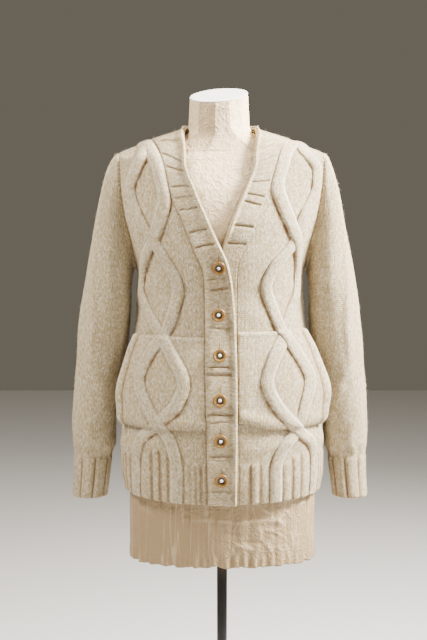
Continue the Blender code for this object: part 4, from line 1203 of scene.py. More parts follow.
def build_band(side):
    """A ribbed strip from the hem up the front and round to the middle of the back neck."""
    s = panel(side)
    sign, over = s.sign, side == "right"
    bp, bn, _, _, _ = back_grid()
    middle = bp.shape[1] // 2
    line = bp[-1, middle + sign * 83::-sign][:84]
    line_n = bn[-1, middle + sign * 83::-sign][:84]
    rail = np.concatenate([s.points[:, 0], line])
    facing = np.concatenate([s.normals[:, 0], line_n])
    along = distances(rail)
    rows = len(s.points)
    total = along[-1]
    anchors = []
    table = INNER[side]
    for at, z, x in zip(table["at"], table["z"], table["x"]):
        z = level_point(1, np.array(0.0), z)[2] if z < 0.8 else z
        anchors.append((np.interp(max(at, HEM_Z - 0.01), rail[:rows, 2], along[:rows]),
                        np.array([x, -0.12, z])))
    anchors[0] = (0.0, np.array([table["x"][0], -0.13, rail[0, 2]]))
    for degrees in (0, 30, 60, 90):
        turn = math.radians(degrees)
        x, y = NECK_INNER[0] * math.cos(turn), NECK_INNER[1] * math.sin(turn)
        reach = along[rows - 1] + (total - along[rows - 1]) * degrees / 90
        anchors.append((reach, np.array([sign * x, y, dome_z(x, y)])))
    places = np.array([a for a, _ in anchors])
    inner_points, _ = settle(np.array([p for _, p in anchors]))
    place = np.linspace(0, total, BAND_SPANS + 1)
    seam, seam_n = follow(place, along, rail), follow(place, along, facing)
    edge = np.stack([smooth(places, inner_points[:, k], place) for k in range(3)], -1)
    width = np.linalg.norm(edge - seam, axis=1)
    share = np.linspace(0, 1, BAND_COLUMNS)
    share = share + 0.10 * np.sin(share * math.pi) ** 2
    share[-1] = 1.0
    share *= 1.012 if over else 1.0
    gap = (BAND_GAP / width)[:, None]
    spots = seam[:, None] + (edge - seam)[:, None] * (gap + share * (1 - gap))[..., None]
    spots[-1, :, 0] = sign * SEAM_GAP / 2 + ring("shift", spots[-1, :, 2])
    across = width[:, None] * share
    from_edge = across[:, -1:] - across
    lines, wide, deep = purl_lines(side, total)
    skew = (0.009 if over else 0.014) * fade(seam[:, 2], 1.05, 1.10) * (1 - fade(seam[:, 2], 1.20, 1.27))
    bent = place[:, None] + skew[:, None] * share + 0.0007 * np.sin(share * 9 + place[:, None] * 200)
    purl = (deep * np.exp(-((bent[..., None] - lines) / wide * 1.7) ** 2)).max(-1)
    covered = np.zeros(len(place)) if over else 1 - fade(seam[:, 2], LAP_TOP_Z, LAP_TOP_Z + 0.025)
    dent = purl * fade(from_edge, 0.004, 0.010)
    dent = dent * fade(across, 0.001, 0.006)
    body = BAND_THICK - (BAND_THICK - UNDER_THICK) * covered[:, None]
    roll = 0.0040 * bell(from_edge - 0.0036, 0.0032) * (1 - covered[:, None])
    lift = np.zeros(spots.shape[:2])
    if over:
        lift = (UNDER_THICK + 0.0024) * (1 - fade(spots[..., 2], LAP_TOP_Z, LAP_TOP_Z + 0.045))
        beside = fade(seam[:, 2], POCKET[side]["bottom"] - 0.014, POCKET[side]["bottom"] - 0.004)
        beside = 0.62 * beside * (1 - fade(seam[:, 2], POCKET[side]["top"] - 0.012, POCKET[side]["top"]))
        lift = lift * np.maximum(fade(across, 0.0, 0.009), beside[:, None])
        puff = np.zeros(len(place))
        for z in BUTTONS["z"]:
            puff += bell(seam[:, 2] - z, 0.016)
        lift = lift + 0.0010 * (puff[:, None] * bell(from_edge - 0.012, 0.012))
    base, normals = settle(spots)
    base[:, 0], normals[:, 0] = spots[:, 0], seam_n
    base[-1, :, 0] = spots[-1, :, 0]
    soften = fade(across, 0, 0.010)[..., None]
    normals = unit(seam_n[:, None] * (1 - soften) + normals * soften)
    round_edge = edge_round(from_edge, 0.0034) + edge_round(across, 0.0014 if over else 0.0004)
    round_edge = round_edge + edge_round(place, 0.0030)[:, None]
    thick = body - 0.0031 * dent + roll - np.minimum(round_edge, 0.0036)
    outer = base + normals * (lift + thick)[..., None]
    inner = (base + normals * lift[..., None])[::4, ::4]
    # Painted warm shade a little in from the rolled edge.
    warm = 0.16 * bell(from_edge - 0.0115, 0.0065) * (1 - covered[:, None])
    bars = 0.5 + 0.5 * np.sin(place[:, None] * 2 * math.pi / 0.0068)
    # Painted shade in the purl lines, along the seam of the band on top, and between the purl bars of the
    # covered band.
    groove = deepest(dent * 0.75, (0.26 if over else 0.0) * bell(across, 0.0040), warm,
                     0.20 * covered[:, None] * bars)
    # A painted highlight on the rolled edge.
    groove = groove - (2.4 if over else 1.0) * bell(from_edge - 0.0034, 0.0036) * (
        1 - covered[:, None])
    # Painted shade for a buttonhole slit above each button.
    for x, z in zip(BUTTONS["x"], BUTTONS["z"]):
        slit = bell(spots[..., 0] - x, 0.0012) * over
        slit = slit * fade(spots[..., 2], z + 0.008, z + 0.012) * (
            1 - fade(spots[..., 2], z + 0.021, z + 0.024))
        groove = np.maximum(groove, slit * 0.9)
    uv = np.stack(np.broadcast_arrays(place[:, None], across), -1)
    return cloth_wall("band_" + side + "_knit", outer, inner, uv, groove)


def revolve(profile, steps):
    """Points and faces of a turned shape; its profile starts and ends on the axis."""
    verts = [(0, 0, profile[0][1])]
    for radius, height in profile[1:-1]:
        for k in range(steps):
            turn = 2 * math.pi * k / steps
            verts.append((radius * math.cos(turn), radius * math.sin(turn), height))
    verts.append((0, 0, profile[-1][1]))
    faces = []
    for k in range(steps):
        d = (k + 1) % steps
        faces.append((0, 1 + d, 1 + k))
        for r in range(len(profile) - 3):
            low, high = 1 + r * steps, 1 + (r + 1) * steps
            faces.append((low + k, low + d, high + d, high + k))
        top = 1 + (len(profile) - 3) * steps
        faces.append((top + k, top + d, len(verts) - 1))
    return np.array(verts, float), faces


def button_place(x, z):
    spot, normal = settle(np.array([x, -0.13, z]))
    spot = spot + normal * (UNDER_THICK + BAND_THICK + 0.0039)
    side = unit(np.cross((0, 0, 1.0), normal))
    return spot, np.stack([side, np.cross(normal, side), normal], 1)


def build_button(number, x, z, looks):
    """A turned button with a raised rim and a dished middle."""
    spot, axes = button_place(x, z)
    r, t = looks.button_radius, BUTTON_THICK
    verts, faces = revolve([(r * out, t * up) for out, up in zip(*BUTTON_TURN.values())], 40)
    radius = np.hypot(verts[:, 0], verts[:, 1]) / r
    # Painted shade in the dished middle, along the dish's edge and round the rim's outer edge.
    groove = deepest((1 - fade(radius, 0.44, 0.60)) * (verts[:, 2] > t * 0.3),
                     0.55 * bell(radius - 0.66, 0.06) * (verts[:, 2] > t * 0.5),
                     0.75 * fade(radius, 0.92, 1.0))
    place = verts @ axes.T + spot
    return mesh_object(f"button_{number}_turned", place, faces, None, groove, material("turned_wood"))


def tube_mesh(path, radius, steps=8):
    """A closed round tube along a path of points."""
    path = np.asarray(path, float)
    tangent = unit(np.gradient(path, axis=0))
    side = unit(np.cross(tangent, (0.3, 0.2, 0.9)))
    other = np.cross(tangent, side)
    turn = np.arange(steps) * 2 * math.pi / steps
    size = radius * np.minimum(1.0, 0.45 + np.minimum(np.arange(len(path)), np.arange(len(path))[::-1]))
    rings = path[:, None] + size[:, None, None] * (side[:, None] * np.cos(turn)[None, :, None]
                                                   + other[:, None] * np.sin(turn)[None, :, None])
    faces = []
    for r in range(len(path) - 1):
        for k in range(steps):
            d = (k + 1) % steps
            faces.append((r * steps + k, (r + 1) * steps + k, (r + 1) * steps + d, r * steps + d))
    faces += [tuple(range(steps)), tuple(range((len(path) - 1) * steps, len(path) * steps))[::-1]]
    return rings.reshape(-1, 3), faces


def build_thread():
    """The cream thread that each button is sewn on with: crossed strands on its middle."""
    verts, faces, offset = [], [], 0
    for x, z in zip(BUTTONS["x"], BUTTONS["z"]):
        spot, axes = button_place(x, z)
        for turn in (0.4, 0.4 + math.pi / 2):
            for side in (-0.0011, 0.0, 0.0011):
                t = np.linspace(-1, 1, 9)
                along = 0.0027 * t
                rise = 0.0030 + 0.0022 * (1 - t ** 2)
                local = np.stack([along * math.cos(turn) - side * math.sin(turn),
                                  along * math.sin(turn) + side * math.cos(turn), rise], -1)
                points, quads = tube_mesh(local @ axes.T + spot, 0.0009)
                verts.append(points)
                faces += [[k + offset for k in f] for f in quads]
                offset += len(points)
    return mesh_object("button_threads", np.concatenate(verts), faces, None, np.zeros(offset),
                       material("button_thread"))


# ---- dress form and stand ---------------------------------------------------------------
def form_turns(count):
    """Headings round the form from the front, closer together there."""
    t = np.arange(count) * 2 * math.pi / count
    return t - 0.5 * np.sin(t)


def form_ring(z, count, tilt=0.0):
    """One level ring of the dress form, just inside the cloth."""
    t = form_turns(count)
    low = min(max(z, 0.610), 1.345)
    if z > 1.2:
        low += FORM_DROP * min((z - 1.2) / 0.03, 1)
    a = min(ring("half_width", low) - FORM_GAP, FORM_SHOULDER)
    front, back = ring("front", low) - FORM_GAP, ring("back", low) - FORM_GAP
    if z < 0.64:
        a = max(a, 0.1770)
    p = 2 / SQUARENESS
    x = a * np.sign(np.sin(t)) * np.abs(np.sin(t)) ** p
    y = -np.sign(np.cos(t)) * np.abs(np.cos(t)) ** p
    y = np.where(y < 0, y * front, y * back)
    return np.stack([x + ring("shift", low), y, z + y * math.tan(tilt)], -1)


def neck_ring(z, tilt, radius, count, roll=0.0):
    t = form_turns(count)
    x, y = radius * np.sin(t), -radius * 0.98 * np.cos(t)
    return np.stack([x - 0.0026, y, z + y * math.tan(tilt) + x * math.tan(roll)], -1)


def level_out(rings):
    """Level directions away from the middle of each ring."""
    out = rings - rings.mean(1, keepdims=True)
    out[..., 2] = 0
    return unit(out)


def closed_loft(name, rings, material_name, tone=None):
    """A closed body through rings, fanned shut at both ends."""
    rings = np.asarray(rings)
    rows, count = rings.shape[:2]
    quads, _ = grid_quads(rows, count, 0, True)
    verts = np.concatenate([rings.reshape(-1, 3), rings[0].mean(0)[None], rings[-1].mean(0)[None]])
    low, high = len(verts) - 2, len(verts) - 1
    faces = quads.tolist()
    last = (rows - 1) * count
    for k in range(count):
        d = (k + 1) % count
        faces.append([d, k, low])
        faces.append([last + k, last + d, high])
    a, b, c = (verts[j] for j in faces[len(quads) // 2][:3])
    if np.dot(np.cross(b - a, c - a), a - rings.reshape(-1, 3).mean(0)) < 0:
        faces = [f[::-1] for f in faces]
    values = np.zeros(len(verts))
    if tone is not None:
        values[:-2] = tone.ravel()
    return mesh_object(name, verts, faces, None, values, material(material_name))


# The neck's paper lies in upright planes: degrees round from the front of each fold
# between two, and how much painted shade the paper gets from that fold to the next, most on the planes
# turned from the light.
NECK_FOLDS = dict(
    at=(-180, -140, -104, -70, -39, -7, 20, 48, 80, 116, 150),
    tone=(0.30, 0.34, 0.42, 0.58, 0.74, 0.38, 0.06, 0.02, 0.12, 0.20, 0.26),
)
CREASES = dict(
    turn=(0.3, 1.1, 2.0, 2.7, 0.7, 1.6, 2.4, 3.0, 0.1),
    climb=(0.4, -0.7, 0.2, 0.9, -0.3, 0.6, -0.9, 0.1, -0.5),
    pitch=(31, 27, 36, 43, 55, 61, 70, 83, 96),
    height=(1.0, 0.9, 0.8, 0.8, 0.6, 0.5, 0.45, 0.35, 0.3),
)


PAPER_SEED = 1


def crinkle(points, amount, stretch=(1, 1, 1), seed=0.0):
    """Creased tissue: sharp straight folds that cross, each fading in and out."""
    noise.seed_set(PAPER_SEED)      # else noise_vector follows the clock, each run its own way
    q = points.reshape(-1, 3) * np.array(stretch) + (seed, 0, 0)
    bend = np.array([noise.noise_vector(Vector(p) * 18) for p in q]) * 0.012
    fades = np.array([noise.noise_vector(Vector(p) * 26 + Vector((7, 1, 4))) for p in q])
    q = q + bend
    total = np.zeros(len(q))
    for k, (turn, climb, pitch, height) in enumerate(zip(*CREASES.values())):
        way = np.array([math.cos(turn), math.sin(turn), climb])
        phase = q @ way / np.linalg.norm(way) * pitch + 0.37 * k
        fold = 1 - 2 * np.abs(phase - np.round(phase))
        total += height * fold ** 3 * np.clip(0.35 + 1.6 * fades[:, k % 3], 0, 1)
    return total.reshape(points.shape[:-1]) * amount * 0.6


FORM_COUNT = 300
# Creases of the skirt's paper: degrees round from the front and height, from one end to the
# other, how wide and how high.
SKIRT_CREASES = dict(
    a0=(-17, 9, 22, 29, 38, 20, 23, 25, 25, 30, 6, 12, 33, 52, 60, 70, -2, 14, 44, -60),
    z0=(0.5865, 0.5810, 0.6073, 0.5873, 0.6023, 0.5698, 0.5673, 0.5640, 0.5398, 0.5348, 0.5398, 0.5460,
        0.5860, 0.6073, 0.5800, 0.5600, 0.5640, 0.6023, 0.5560, 0.6000),
    a1=(9, 35, 27, 37, 43, 21, 37, 32, 28, 37, 16, 22, 40, 60, 66, 74, 10, 20, 46, -48),
    z1=(0.5815, 0.5798, 0.5973, 0.5735, 0.5923, 0.5498, 0.5510, 0.5560, 0.5248, 0.5248, 0.5298, 0.5420,
        0.5960, 0.6098, 0.5900, 0.5300, 0.5560, 0.5900, 0.5300, 0.5960),
    width=(0.0032, 0.0034, 0.0026, 0.0042, 0.0030, 0.0028, 0.0030, 0.0028, 0.0030, 0.0028, 0.0040, 0.0036,
           0.0030, 0.0030, 0.0036, 0.0034, 0.0040, 0.0032, 0.0032, 0.0040),
    rise=(0.0011, 0.0013, 0.0020, 0.0026, 0.0018, 0.0017, 0.0020, -0.0016, 0.0020, 0.0016, 0.0014, -0.0013,
          0.0018, 0.0016, 0.0012, 0.0012, -0.0010, -0.0012, 0.0014, 0.0010),
)


# Where a strip of the form's paper starts, in radians round from the front.
PAPER_STRIPS = (-1.056, -0.906, -0.656, -0.50, -0.300, -0.112, -0.044, 0.085, 0.55, 1.1, 1.7, 2.4,
                -3.0, -2.3, -1.6)


def neck_planes(turn):
    """How far the neck's paper lies inside the round, and how much painted shade it gets, most on planes
    turned from the light and along each fold, at these headings.
    """
    folds = np.array([*NECK_FOLDS["at"], 180.0])
    plane = np.clip(np.searchsorted(folds, turn, "right") - 1, 0, len(folds) - 2)
    middle, half = (folds[plane] + folds[plane + 1]) / 2, (folds[plane + 1] - folds[plane]) / 2
    flat = 0.050 * (np.cos(np.radians(half)) / np.cos(np.radians(turn - middle)) - 1)
    painted_plane_shade = np.array(NECK_FOLDS["tone"])[plane] + 0.25 * bell(half - np.abs(turn - middle), 1.6)
    return flat, painted_plane_shade


def build_torso():
    """The form's body under the cloth: paper strips, a ragged lower edge."""
    levels = np.concatenate([np.linspace(FORM_BOTTOM_Z, 0.660, 66), np.linspace(0.668, 1.00, 24),
                             np.linspace(1.006, 1.2896, 95), [1.2902]])
    rings = np.array([form_ring(z, FORM_COUNT) for z in levels])
    out = level_out(rings)
    turn = (form_turns(FORM_COUNT) + math.pi) % (2 * math.pi) - math.pi
    low = 1 - fade(levels, 0.60, 0.68)[:, None]
    chest = fade(levels, 1.02, 1.06)[:, None]
    rough = crinkle(rings, 0.0019) * np.maximum(low, chest)
    strip = np.zeros((len(levels), FORM_COUNT))
    seams = np.zeros((len(levels), FORM_COUNT))
    for place in PAPER_STRIPS:
        off = (turn - place + math.pi) % (2 * math.pi) - math.pi
        off = off[None] + 0.006 * np.sin(levels * 60 + place * 9)[:, None]
        strip += 0.0012 * fade(off, -0.010, 0.004) * (1 - fade(off, 0.02, 0.16))
        seams = np.maximum(seams, (0.10 + 0.16 * abs(math.sin(place * 7))) * bell(off, 0.009))
    long_folds = 0.0007 * np.sin(turn * 37 + 2 * np.sin(turn * 5))[None] * (
        0.5 + 0.5 * np.sin(turn * 3 + 1.0)[None]) * low
    tucks = 0.0016 * np.sin(turn * 61 + 3 * np.sin(turn * 4))[None]
    tucks = tucks * (1 - fade(levels, 0.508, 0.530))[:, None]
    crease = creases(SKIRT_CREASES, np.degrees(turn)[None] + 0 * levels[:, None],
                     levels[:, None] + 0 * turn[None], math.radians(1) * 0.16) * low
    collar = 0.0018 * fade(levels, 1.268, 1.271)[:, None]
    plane, painted_plane_shade = neck_planes(np.degrees(turn))
    near_neck = fade(levels, 1.268, 1.276)[:, None]
    right = 0.10 + 0.30 * fade(turn, 0.1, 0.4)[None]
    rough = rough * (1 - low) * (1 - 0.7 * near_neck) + rough * low * right + plane * near_neck
    rings = rings + out * (rough - 0.0010 + strip * low + long_folds + tucks + crease + collar)[..., None]
    ragged = np.array([noise.noise(Vector((math.cos(a) * 9, math.sin(a) * 9, 0))) * 0.0042
                       + noise.noise(Vector((math.cos(a) * 34, math.sin(a) * 34, 3))) * 0.0016
                       for a in turn])
    share = np.clip((0.53 - levels) / 0.032, 0, 1)[:, None]
    rings[..., 2] += (np.maximum(ragged, -0.0015) * share + 0.0002)
    # The skirt's brown tissue, partly painted shade under the cardigan's hem; dark strip seams; painted
    # highlights on raised creases and painted shade in sunken ones; painted shade on the neck's planes.
    tone = low * (0.98 + seams * 3.0 - np.clip(crease, -0.001, 0.002) * 150) + painted_plane_shade * near_neck
    # A painted shadow under the collar's edge, on part of the front.
    collar_painted_shadow = 0.7 * bell(levels - 1.2685, 0.0016)[:, None]
    tone = tone + collar_painted_shadow * (fade(turn, -0.9, -0.6) * (1 - fade(turn, -0.05, 0.20)))[None]
    return closed_loft("form_paper_body", rings, "form_paper", tone)


def build_neck():
    """The form's neck, wrapped in paper with upright folds."""
    count = 160
    rings = [form_ring(z, count) for z in (1.2904, 1.2908, 1.293, 1.295, 1.297, 1.299, 1.301, 1.303)]
    for f in np.linspace(0, 1, 44):
        z = 1.313 + (NECK_TOP_Z - 0.0018 - 1.313) * f
        lean = float(fade(f, 0.0, 1.0))
        rings.append(neck_ring(z, NECK_TILT * lean, 0.0578 - 0.0030 * f, count, NECK_ROLL * lean))
    rings = np.array(rings)
    out = level_out(rings)
    rough = 0.0004 + crinkle(rings, 0.0008, (1, 1, 0.3), 5.0)
    # Painted shade on each plane of the neck's paper.
    plane, painted_plane_shade = neck_planes((np.degrees(form_turns(count)) + 180) % 360 - 180)
    swell = np.concatenate([0.0022 * fade(np.linspace(0, 1, 8), 0, 1), np.zeros(44)])[:, None]
    rings = rings + out * (rough + 0.0004 + plane + swell)[..., None]
    return closed_loft("form_paper_neck", rings, "form_paper", np.broadcast_to(painted_plane_shade, rings.shape[:2]))


def build_cap():
    """The neck's flat top."""
    count = 96
    rings = []
    for z, radius in ((-0.0012, 0.0530), (-0.0010, 0.0542), (0.0000, 0.0546), (0.0010, 0.0540),
                      (0.0014, 0.0520), (0.0012, 0.0400), (0.0012, 0.0250), (0.0012, 0.0100)):
        rings.append(neck_ring(NECK_TOP_Z + z, NECK_TILT, radius, count, NECK_ROLL))
    rings = np.array(rings)
    rings[3:, :, 2] += (crinkle(rings[3:], 0.0004, (1, 1, 1), 2.0) - 0.0002)
    return closed_loft("form_cap_top", rings, "cap_paper")


def turned_object(name, profile, steps, x, material_name):
    verts, faces = revolve(profile, steps)
    verts[:, 0] += x
    return mesh_object(name, verts, faces, None, np.zeros(len(verts)), material(material_name))


# ---- fuzz -------------------------------------------------------------------------------
def fuzz_tree(fibre, wool):
    """Scatters bent fibres over a surface, with a fixed seed."""
    n = Tree(bpy.data.node_groups.new("wool_fuzz", "GeometryNodeTree"))
    face = n.tree.interface
    for way in ("INPUT", "OUTPUT"):
        face.new_socket("Geometry", in_out=way, socket_type="NodeSocketGeometry")
    density = face.new_socket("Fibres per square metre", in_out="INPUT", socket_type="NodeSocketFloat")
    seed = face.new_socket("Seed", in_out="INPUT", socket_type="NodeSocketInt")
    density.default_value, seed.default_value = 20000.0, 3
    start = n.add("NodeGroupInput").outputs
    spots = n.add("GeometryNodeDistributePointsOnFaces", Mesh=start[0], Density=start[1], Seed=start[2])
    shape = n.add("GeometryNodeObjectInfo", Object=fibre)
    fibres = n.add("GeometryNodeInstanceOnPoints", Points=spots.outputs["Points"],
                   Instance=shape.outputs["Geometry"], Rotation=spots.outputs["Rotation"])
    turn = n.add("FunctionNodeRandomValue", i0=(-0.95, -0.95, -3.1), i1=(0.95, 0.95, 3.1), Seed=11)
    turn.data_type = "FLOAT_VECTOR"
    size = n.add("FunctionNodeRandomValue", i2=0.35, i3=1.00, Seed=5)
    size.data_type = "FLOAT"
    turned = n.add("GeometryNodeRotateInstances", Instances=fibres.outputs[0], Rotation=turn.outputs[0])
    grown = n.add("GeometryNodeScaleInstances", Instances=turned.outputs[0], Scale=size.outputs[1])
    real = n.add("GeometryNodeRealizeInstances", i0=grown.outputs[0])
    painted = n.add("GeometryNodeSetMaterial", Geometry=real.outputs[0], Material=wool)
    n.add("NodeGroupOutput", i0=painted.outputs[0])
    return n.tree, density.identifier, seed.identifier


def fibre_object():
    """One bent fibre: a slim closed three-sided spike."""
    path = np.array([(0, 0, -0.0004), (0.0003, 0, 0.0020), (0.0012, 0.0004, 0.0038),
                     (0.0028, 0.0012, 0.0050)])
    sizes = (0.00013, 0.00012, 0.00010)
    verts = []
    for p, size in zip(path[:3], sizes):
        for k in range(3):
            turn = k * 2 * math.pi / 3
            verts.append(p + np.array([math.cos(turn) * size, math.sin(turn) * size, 0]))
    verts.append(path[3])
    faces = [(2, 1, 0)]
    for r in range(2):
        for k in range(3):
            d = (k + 1) % 3
            faces.append((r * 3 + k, r * 3 + d, r * 3 + 3 + d, r * 3 + 3 + k))
    faces += [(6 + k, 6 + (k + 1) % 3, 9) for k in range(3)]
    mesh = bpy.data.meshes.new("fibre")
    mesh.from_pydata([tuple(v) for v in verts], [], faces)
    obj = bpy.data.objects.new("fibre", mesh)
    bpy.context.scene.collection.objects.link(obj)
    return obj


def build_fuzz(name, source, looks, fibre):
    """Loose fibres standing off the outer face of one piece of the knit."""
    tree, density, seed = fuzz_tree(fibre, material("fuzz_wool"))
    mesh = bpy.data.meshes.new(name)
    faces = [list(p.vertices) for p in source.data.polygons[:source["outer_faces"]]]
    mesh.from_pydata([v.co for v in source.data.vertices], [], faces)
    carrier = bpy.data.objects.new(name, mesh)
    bpy.context.scene.collection.objects.link(carrier)
    modifier = carrier.modifiers.new("fuzz", "NODES")
    modifier.node_group = tree
    modifier[density] = looks.fuzz_density
    modifier[seed] = looks.fuzz_seed
    graph = bpy.context.evaluated_depsgraph_get()
    fuzz = bpy.data.meshes.new_from_object(carrier.evaluated_get(graph), depsgraph=graph)
    carrier.modifiers.remove(modifier)
    carrier.data = fuzz
    bpy.data.meshes.remove(mesh)
    bpy.data.node_groups.remove(tree)
    return carrier


# ---- settings ---------------------------------------------------------------------------
class CardiganSizes(bpy.types.PropertyGroup):
    """Sizes that a user would change"""

    rope_width: FloatProperty(name="Strand width", description="Width of one cable strand",
                              default=0.0248, unit="LENGTH")
    rope_rise: FloatProperty(name="Strand height", description="Cable strand above the plain knit",
                             default=0.0054, unit="LENGTH")
    button_radius: FloatProperty(name="Button radius", description="Half of a button's width",
                                 default=0.0125, unit="LENGTH")
    fuzz_density: FloatProperty(name="Fuzz", description="Loose fibres on each square metre",
                                default=6000.0)
    fuzz_seed: IntProperty(name="Fuzz seed", description="Changes how the fibres fall", default=3)


class CardiganLooks(bpy.types.PropertyGroup):
    """Colours and stitch sizes of the materials"""

    stitch_width: FloatProperty(name="Stitch width", description="One column of the knit",
                                default=0.00475, unit="LENGTH")
    stitch_height: FloatProperty(name="Stitch height", description="One row of the knit",
                                 default=0.0035, unit="LENGTH")
    wool_colour: FloatVectorProperty(name="Wool", description="Cream wool in the light",
                                     subtype="COLOR", default=(0.80, 0.665, 0.425))
    # Painted shade between the stitches, and the darker random speckle.
    wool_painted_shade_and_speckle: FloatVectorProperty(name="Wool between stitches", description="Deeper in the knit",
                                    subtype="COLOR", default=(0.42, 0.285, 0.120))
    # A painted highlight on rolled and lit edges, and the paler random speckle.
    wool_highlight_and_pale_speckle: FloatVectorProperty(name="Wool at edges", description="Rolled edges, worn pale",
                                   subtype="COLOR", default=(0.98, 0.955, 0.87))
    # Painted shade in hollows, seams and at the foot of the cables.
    wool_painted_crevice_shade: FloatVectorProperty(name="Wool in grooves", description="At the foot of a cable",
                                     subtype="COLOR", default=(0.20, 0.085, 0.018))
    paper_colour: FloatVectorProperty(name="Paper", description="Tissue paper of the form",
                                      subtype="COLOR", default=(0.80, 0.650, 0.450))
    # The skirt's brown tissue with painted shade under the cardigan's hem; painted shade on the neck's
    # planes, under the collar and in creases.
    paper_brown_and_painted_shade: FloatVectorProperty(name="Paper low down", description="Browned tissue of the skirt",
                                     subtype="COLOR", default=(0.285, 0.198, 0.104))
    cap_colour: FloatVectorProperty(name="Neck top", description="Paper of the neck's top",
                                    subtype="COLOR", default=(0.78, 0.765, 0.735))
    button_colour: FloatVectorProperty(name="Buttons", description="Golden turned wood",
                                       subtype="COLOR", default=(0.300, 0.145, 0.012))


# ---- operators --------------------------------------------------------------------------
class CARDIGAN_OT_fronts(bpy.types.Operator):
    """Knit both fronts with their cable strands"""

    bl_idname = "cardigan.fronts"
    bl_label = "Fronts and cables"

    def execute(self, context):
        for side in SIDES:
            front = build_front(side)
            ropes = build_ropes(side, context.scene.cardigan_sizes)
            dress(front, "wool", "front_" + side)
            dress(ropes, "wool")
        return {"FINISHED"}


class CARDIGAN_OT_back(bpy.types.Operator):
    """Knit the back"""

    bl_idname = "cardigan.back"
    bl_label = "Back"

    def execute(self, context):
        back = build_back()
        dress(back, "wool", "back")
        return {"FINISHED"}


class CARDIGAN_OT_pockets(bpy.types.Operator):
    """Knit the two patch pockets"""

    bl_idname = "cardigan.pockets"
    bl_label = "Pockets"

    def execute(self, context):
        for side in SIDES:
            pocket = build_pocket(side)
            dress(pocket, "wool", "pocket_" + side)
        return {"FINISHED"}


class CARDIGAN_OT_sleeves(bpy.types.Operator):
    """Knit both sleeves"""

    bl_idname = "cardigan.sleeves"
    bl_label = "Sleeves"

    def execute(self, context):
        for side in SIDES:
            sleeve = build_sleeve(side)
            dress(sleeve, "wool", "sleeve_" + side)
        return {"FINISHED"}


class CARDIGAN_OT_bands(bpy.types.Operator):
    """Knit the neck and button bands"""

    bl_idname = "cardigan.bands"
    bl_label = "Bands"

    def execute(self, context):
        for side in SIDES:
            band = build_band(side)
            dress(band, "wool", "band_" + side)
        return {"FINISHED"}


class CARDIGAN_OT_buttons(bpy.types.Operator):
    """Turn the six buttons and sew them on"""

    bl_idname = "cardigan.buttons"
    bl_label = "Buttons"

    def execute(self, context):
        for number, (x, z) in enumerate(zip(BUTTONS["x"], BUTTONS["z"]), 1):
            button = build_button(number, x, z, context.scene.cardigan_sizes)
            dress(button, "button", f"button_{number}")
        dress(build_thread(), "wool")
        return {"FINISHED"}


class CARDIGAN_OT_fuzz(bpy.types.Operator):
    """Raise loose fibres on the knit's outer faces"""

    bl_idname = "cardigan.fuzz"
    bl_label = "Wool fuzz"

    def execute(self, context):
        knits = [o for o in context.scene.objects if "outer_faces" in o.keys()]
        if not knits:
            raise RuntimeError("knit the cardigan before its fuzz")
        fibre = fibre_object()
        for knit in knits:
            fuzz = build_fuzz("fuzz_" + knit.name, knit, context.scene.cardigan_sizes, fibre)
            dress(fuzz, "wool")
        bpy.data.objects.remove(fibre)
        return {"FINISHED"}


class CARDIGAN_OT_form(bpy.types.Operator):
    """Cover the dress form with paper"""

    bl_idname = "cardigan.form"
    bl_label = "Dress form"

    def execute(self, context):
        dress(build_torso(), "paper", "form_torso")
        dress(build_neck(), "paper", "form_neck")
        dress(build_cap(), "paper", "form_cap")
        return {"FINISHED"}


class CARDIGAN_OT_stand(bpy.types.Operator):
    """Turn the pole and the round base"""

    bl_idname = "cardigan.stand"
    bl_label = "Stand"

    def execute(self, context):
        low, high, radius = 0.0124, FORM_BOTTOM_Z - 0.0004, 0.0098
        pole = [(0, low), (radius * 0.93, low), (radius, low + 0.001), (radius, 0.25),
                (radius, high - 0.001), (radius * 0.93, high), (0, high)]
        dress(turned_object("pole_tube", pole, 48, STAND_X, "pole_paint"), "black", "pole")
        r, t = 0.180, 0.012
        base = [(0, 0), (r - 0.0015, 0), (r, 0.0015), (r, t * 0.55), (r - 0.0012, t * 0.80),
                (r - 0.0045, t * 0.96), (r - 0.008, t), (r * 0.5, t), (0.030, t), (0, t)]
        dress(turned_object("base_plate", base, 96, STAND_X, "base_paint"), "black", "base")
        return {"FINISHED"}


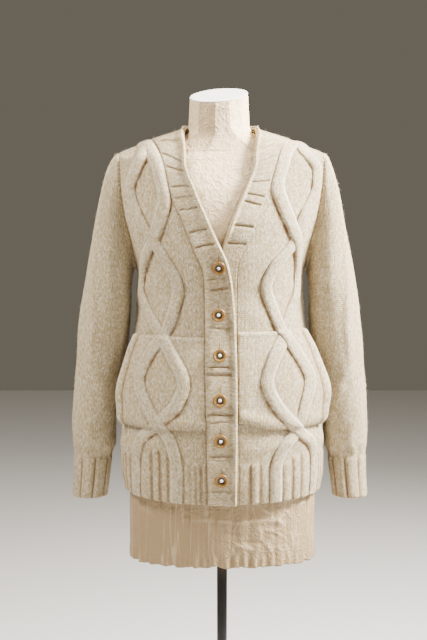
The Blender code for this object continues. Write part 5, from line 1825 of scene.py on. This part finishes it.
class CARDIGAN_OT_stage(bpy.types.Operator):
    """Set the floor, the light and the camera"""

    bl_idname = "cardigan.stage"
    bl_label = "Stage"

    def execute(self, context):
        floor = mesh_object("floor", [(-6, -6, 0), (6, -6, 0), (6, 6, 0), (-6, 6, 0)], [(0, 1, 2, 3)])
        n = Nodes("pale_floor")
        grain = n.noise(3.0, 3.0)
        n.set(Base_Color=n.mix(n.times(grain, 0.2), (0.66, 0.64, 0.62), (0.60, 0.58, 0.56)),
              Roughness=0.9)
        floor.data.materials.append(n.material)
        floor.location.z = -0.0005
        world = bpy.data.worlds.new("studio")
        world.use_nodes = True
        world.node_tree.nodes["Background"].inputs[0].default_value = (0.88, 0.78, 0.61, 1)
        world.node_tree.nodes["Background"].inputs[1].default_value = 0.165
        context.scene.world = world
        aim = Vector((-0.012, 0, 0.95))
        for name, place, size, power, colour in (
                ("key", (1.36, -0.24, 2.10), 0.5, 330.0, (1.0, 0.97, 0.90)),
                ("side", (-1.25, -0.36, 2.35), 0.6, 88.0, (1.0, 0.95, 0.86)),
                ("fill", (1.1, -1.5, 1.9), 1.0, 23.0, (1.0, 0.95, 0.84)),
                ("rim", (1.2, 2.2, 2.2), 1.2, 48.0, (1.0, 0.98, 0.95))):
            lamp = bpy.data.lights.new(name, "AREA")
            lamp.energy, lamp.size, lamp.color = power, size, colour
            light = bpy.data.objects.new(name, lamp)
            context.scene.collection.objects.link(light)
            light.location = place
            light.rotation_euler = (aim - Vector(place)).to_track_quat("-Z", "Y").to_euler()
        camera = bpy.data.cameras.new("camera")
        distance, pitch = 3.3, math.radians(5.4)
        camera.sensor_width = 36.0
        camera.lens = 36.0 * distance / (640 * PIXEL)
        eye = bpy.data.objects.new("camera", camera)
        context.scene.collection.objects.link(eye)
        target = Vector(((213.5 - 220.0) * PIXEL, 0, 0.9484))
        eye.location = target + Vector((0, -math.cos(pitch), math.sin(pitch))) * distance
        eye.rotation_euler = (target - eye.location).to_track_quat("-Z", "Y").to_euler()
        context.scene.camera = eye
        return {"FINISHED"}


OPERATORS = (CARDIGAN_OT_fronts, CARDIGAN_OT_back, CARDIGAN_OT_pockets, CARDIGAN_OT_sleeves,
             CARDIGAN_OT_bands, CARDIGAN_OT_buttons, CARDIGAN_OT_fuzz, CARDIGAN_OT_form, CARDIGAN_OT_stand,
             CARDIGAN_OT_stage)


class CARDIGAN_PT_panel(bpy.types.Panel):
    """Lists the cardigan's pieces"""

    bl_idname = "CARDIGAN_PT_panel"
    bl_label = "Cardigan"
    bl_space_type = "VIEW_3D"
    bl_region_type = "UI"
    bl_category = "Cardigan"

    def draw(self, context):
        for group in (context.scene.cardigan_sizes, context.scene.cardigan_looks):
            for name in group.__annotations__:
                self.layout.prop(group, name)
        for operator in OPERATORS:
            self.layout.operator(operator.bl_idname)


CLASSES = (CardiganSizes, CardiganLooks, *OPERATORS, CARDIGAN_PT_panel)


def register():
    for cls in CLASSES:
        bpy.utils.register_class(cls)
    bpy.types.Scene.cardigan_sizes = PointerProperty(type=CardiganSizes)
    bpy.types.Scene.cardigan_looks = PointerProperty(type=CardiganLooks)


def unregister():
    del bpy.types.Scene.cardigan_looks
    del bpy.types.Scene.cardigan_sizes
    for cls in reversed(CLASSES):
        bpy.utils.unregister_class(cls)


def main():
    register()
    bpy.ops.cardigan.fronts()
    bpy.ops.cardigan.back()
    bpy.ops.cardigan.pockets()
    bpy.ops.cardigan.sleeves()
    bpy.ops.cardigan.bands()
    bpy.ops.cardigan.buttons()
    bpy.ops.cardigan.fuzz()
    bpy.ops.cardigan.form()
    bpy.ops.cardigan.stand()
    bpy.ops.cardigan.stage()


if __name__ == "__main__":
    main()
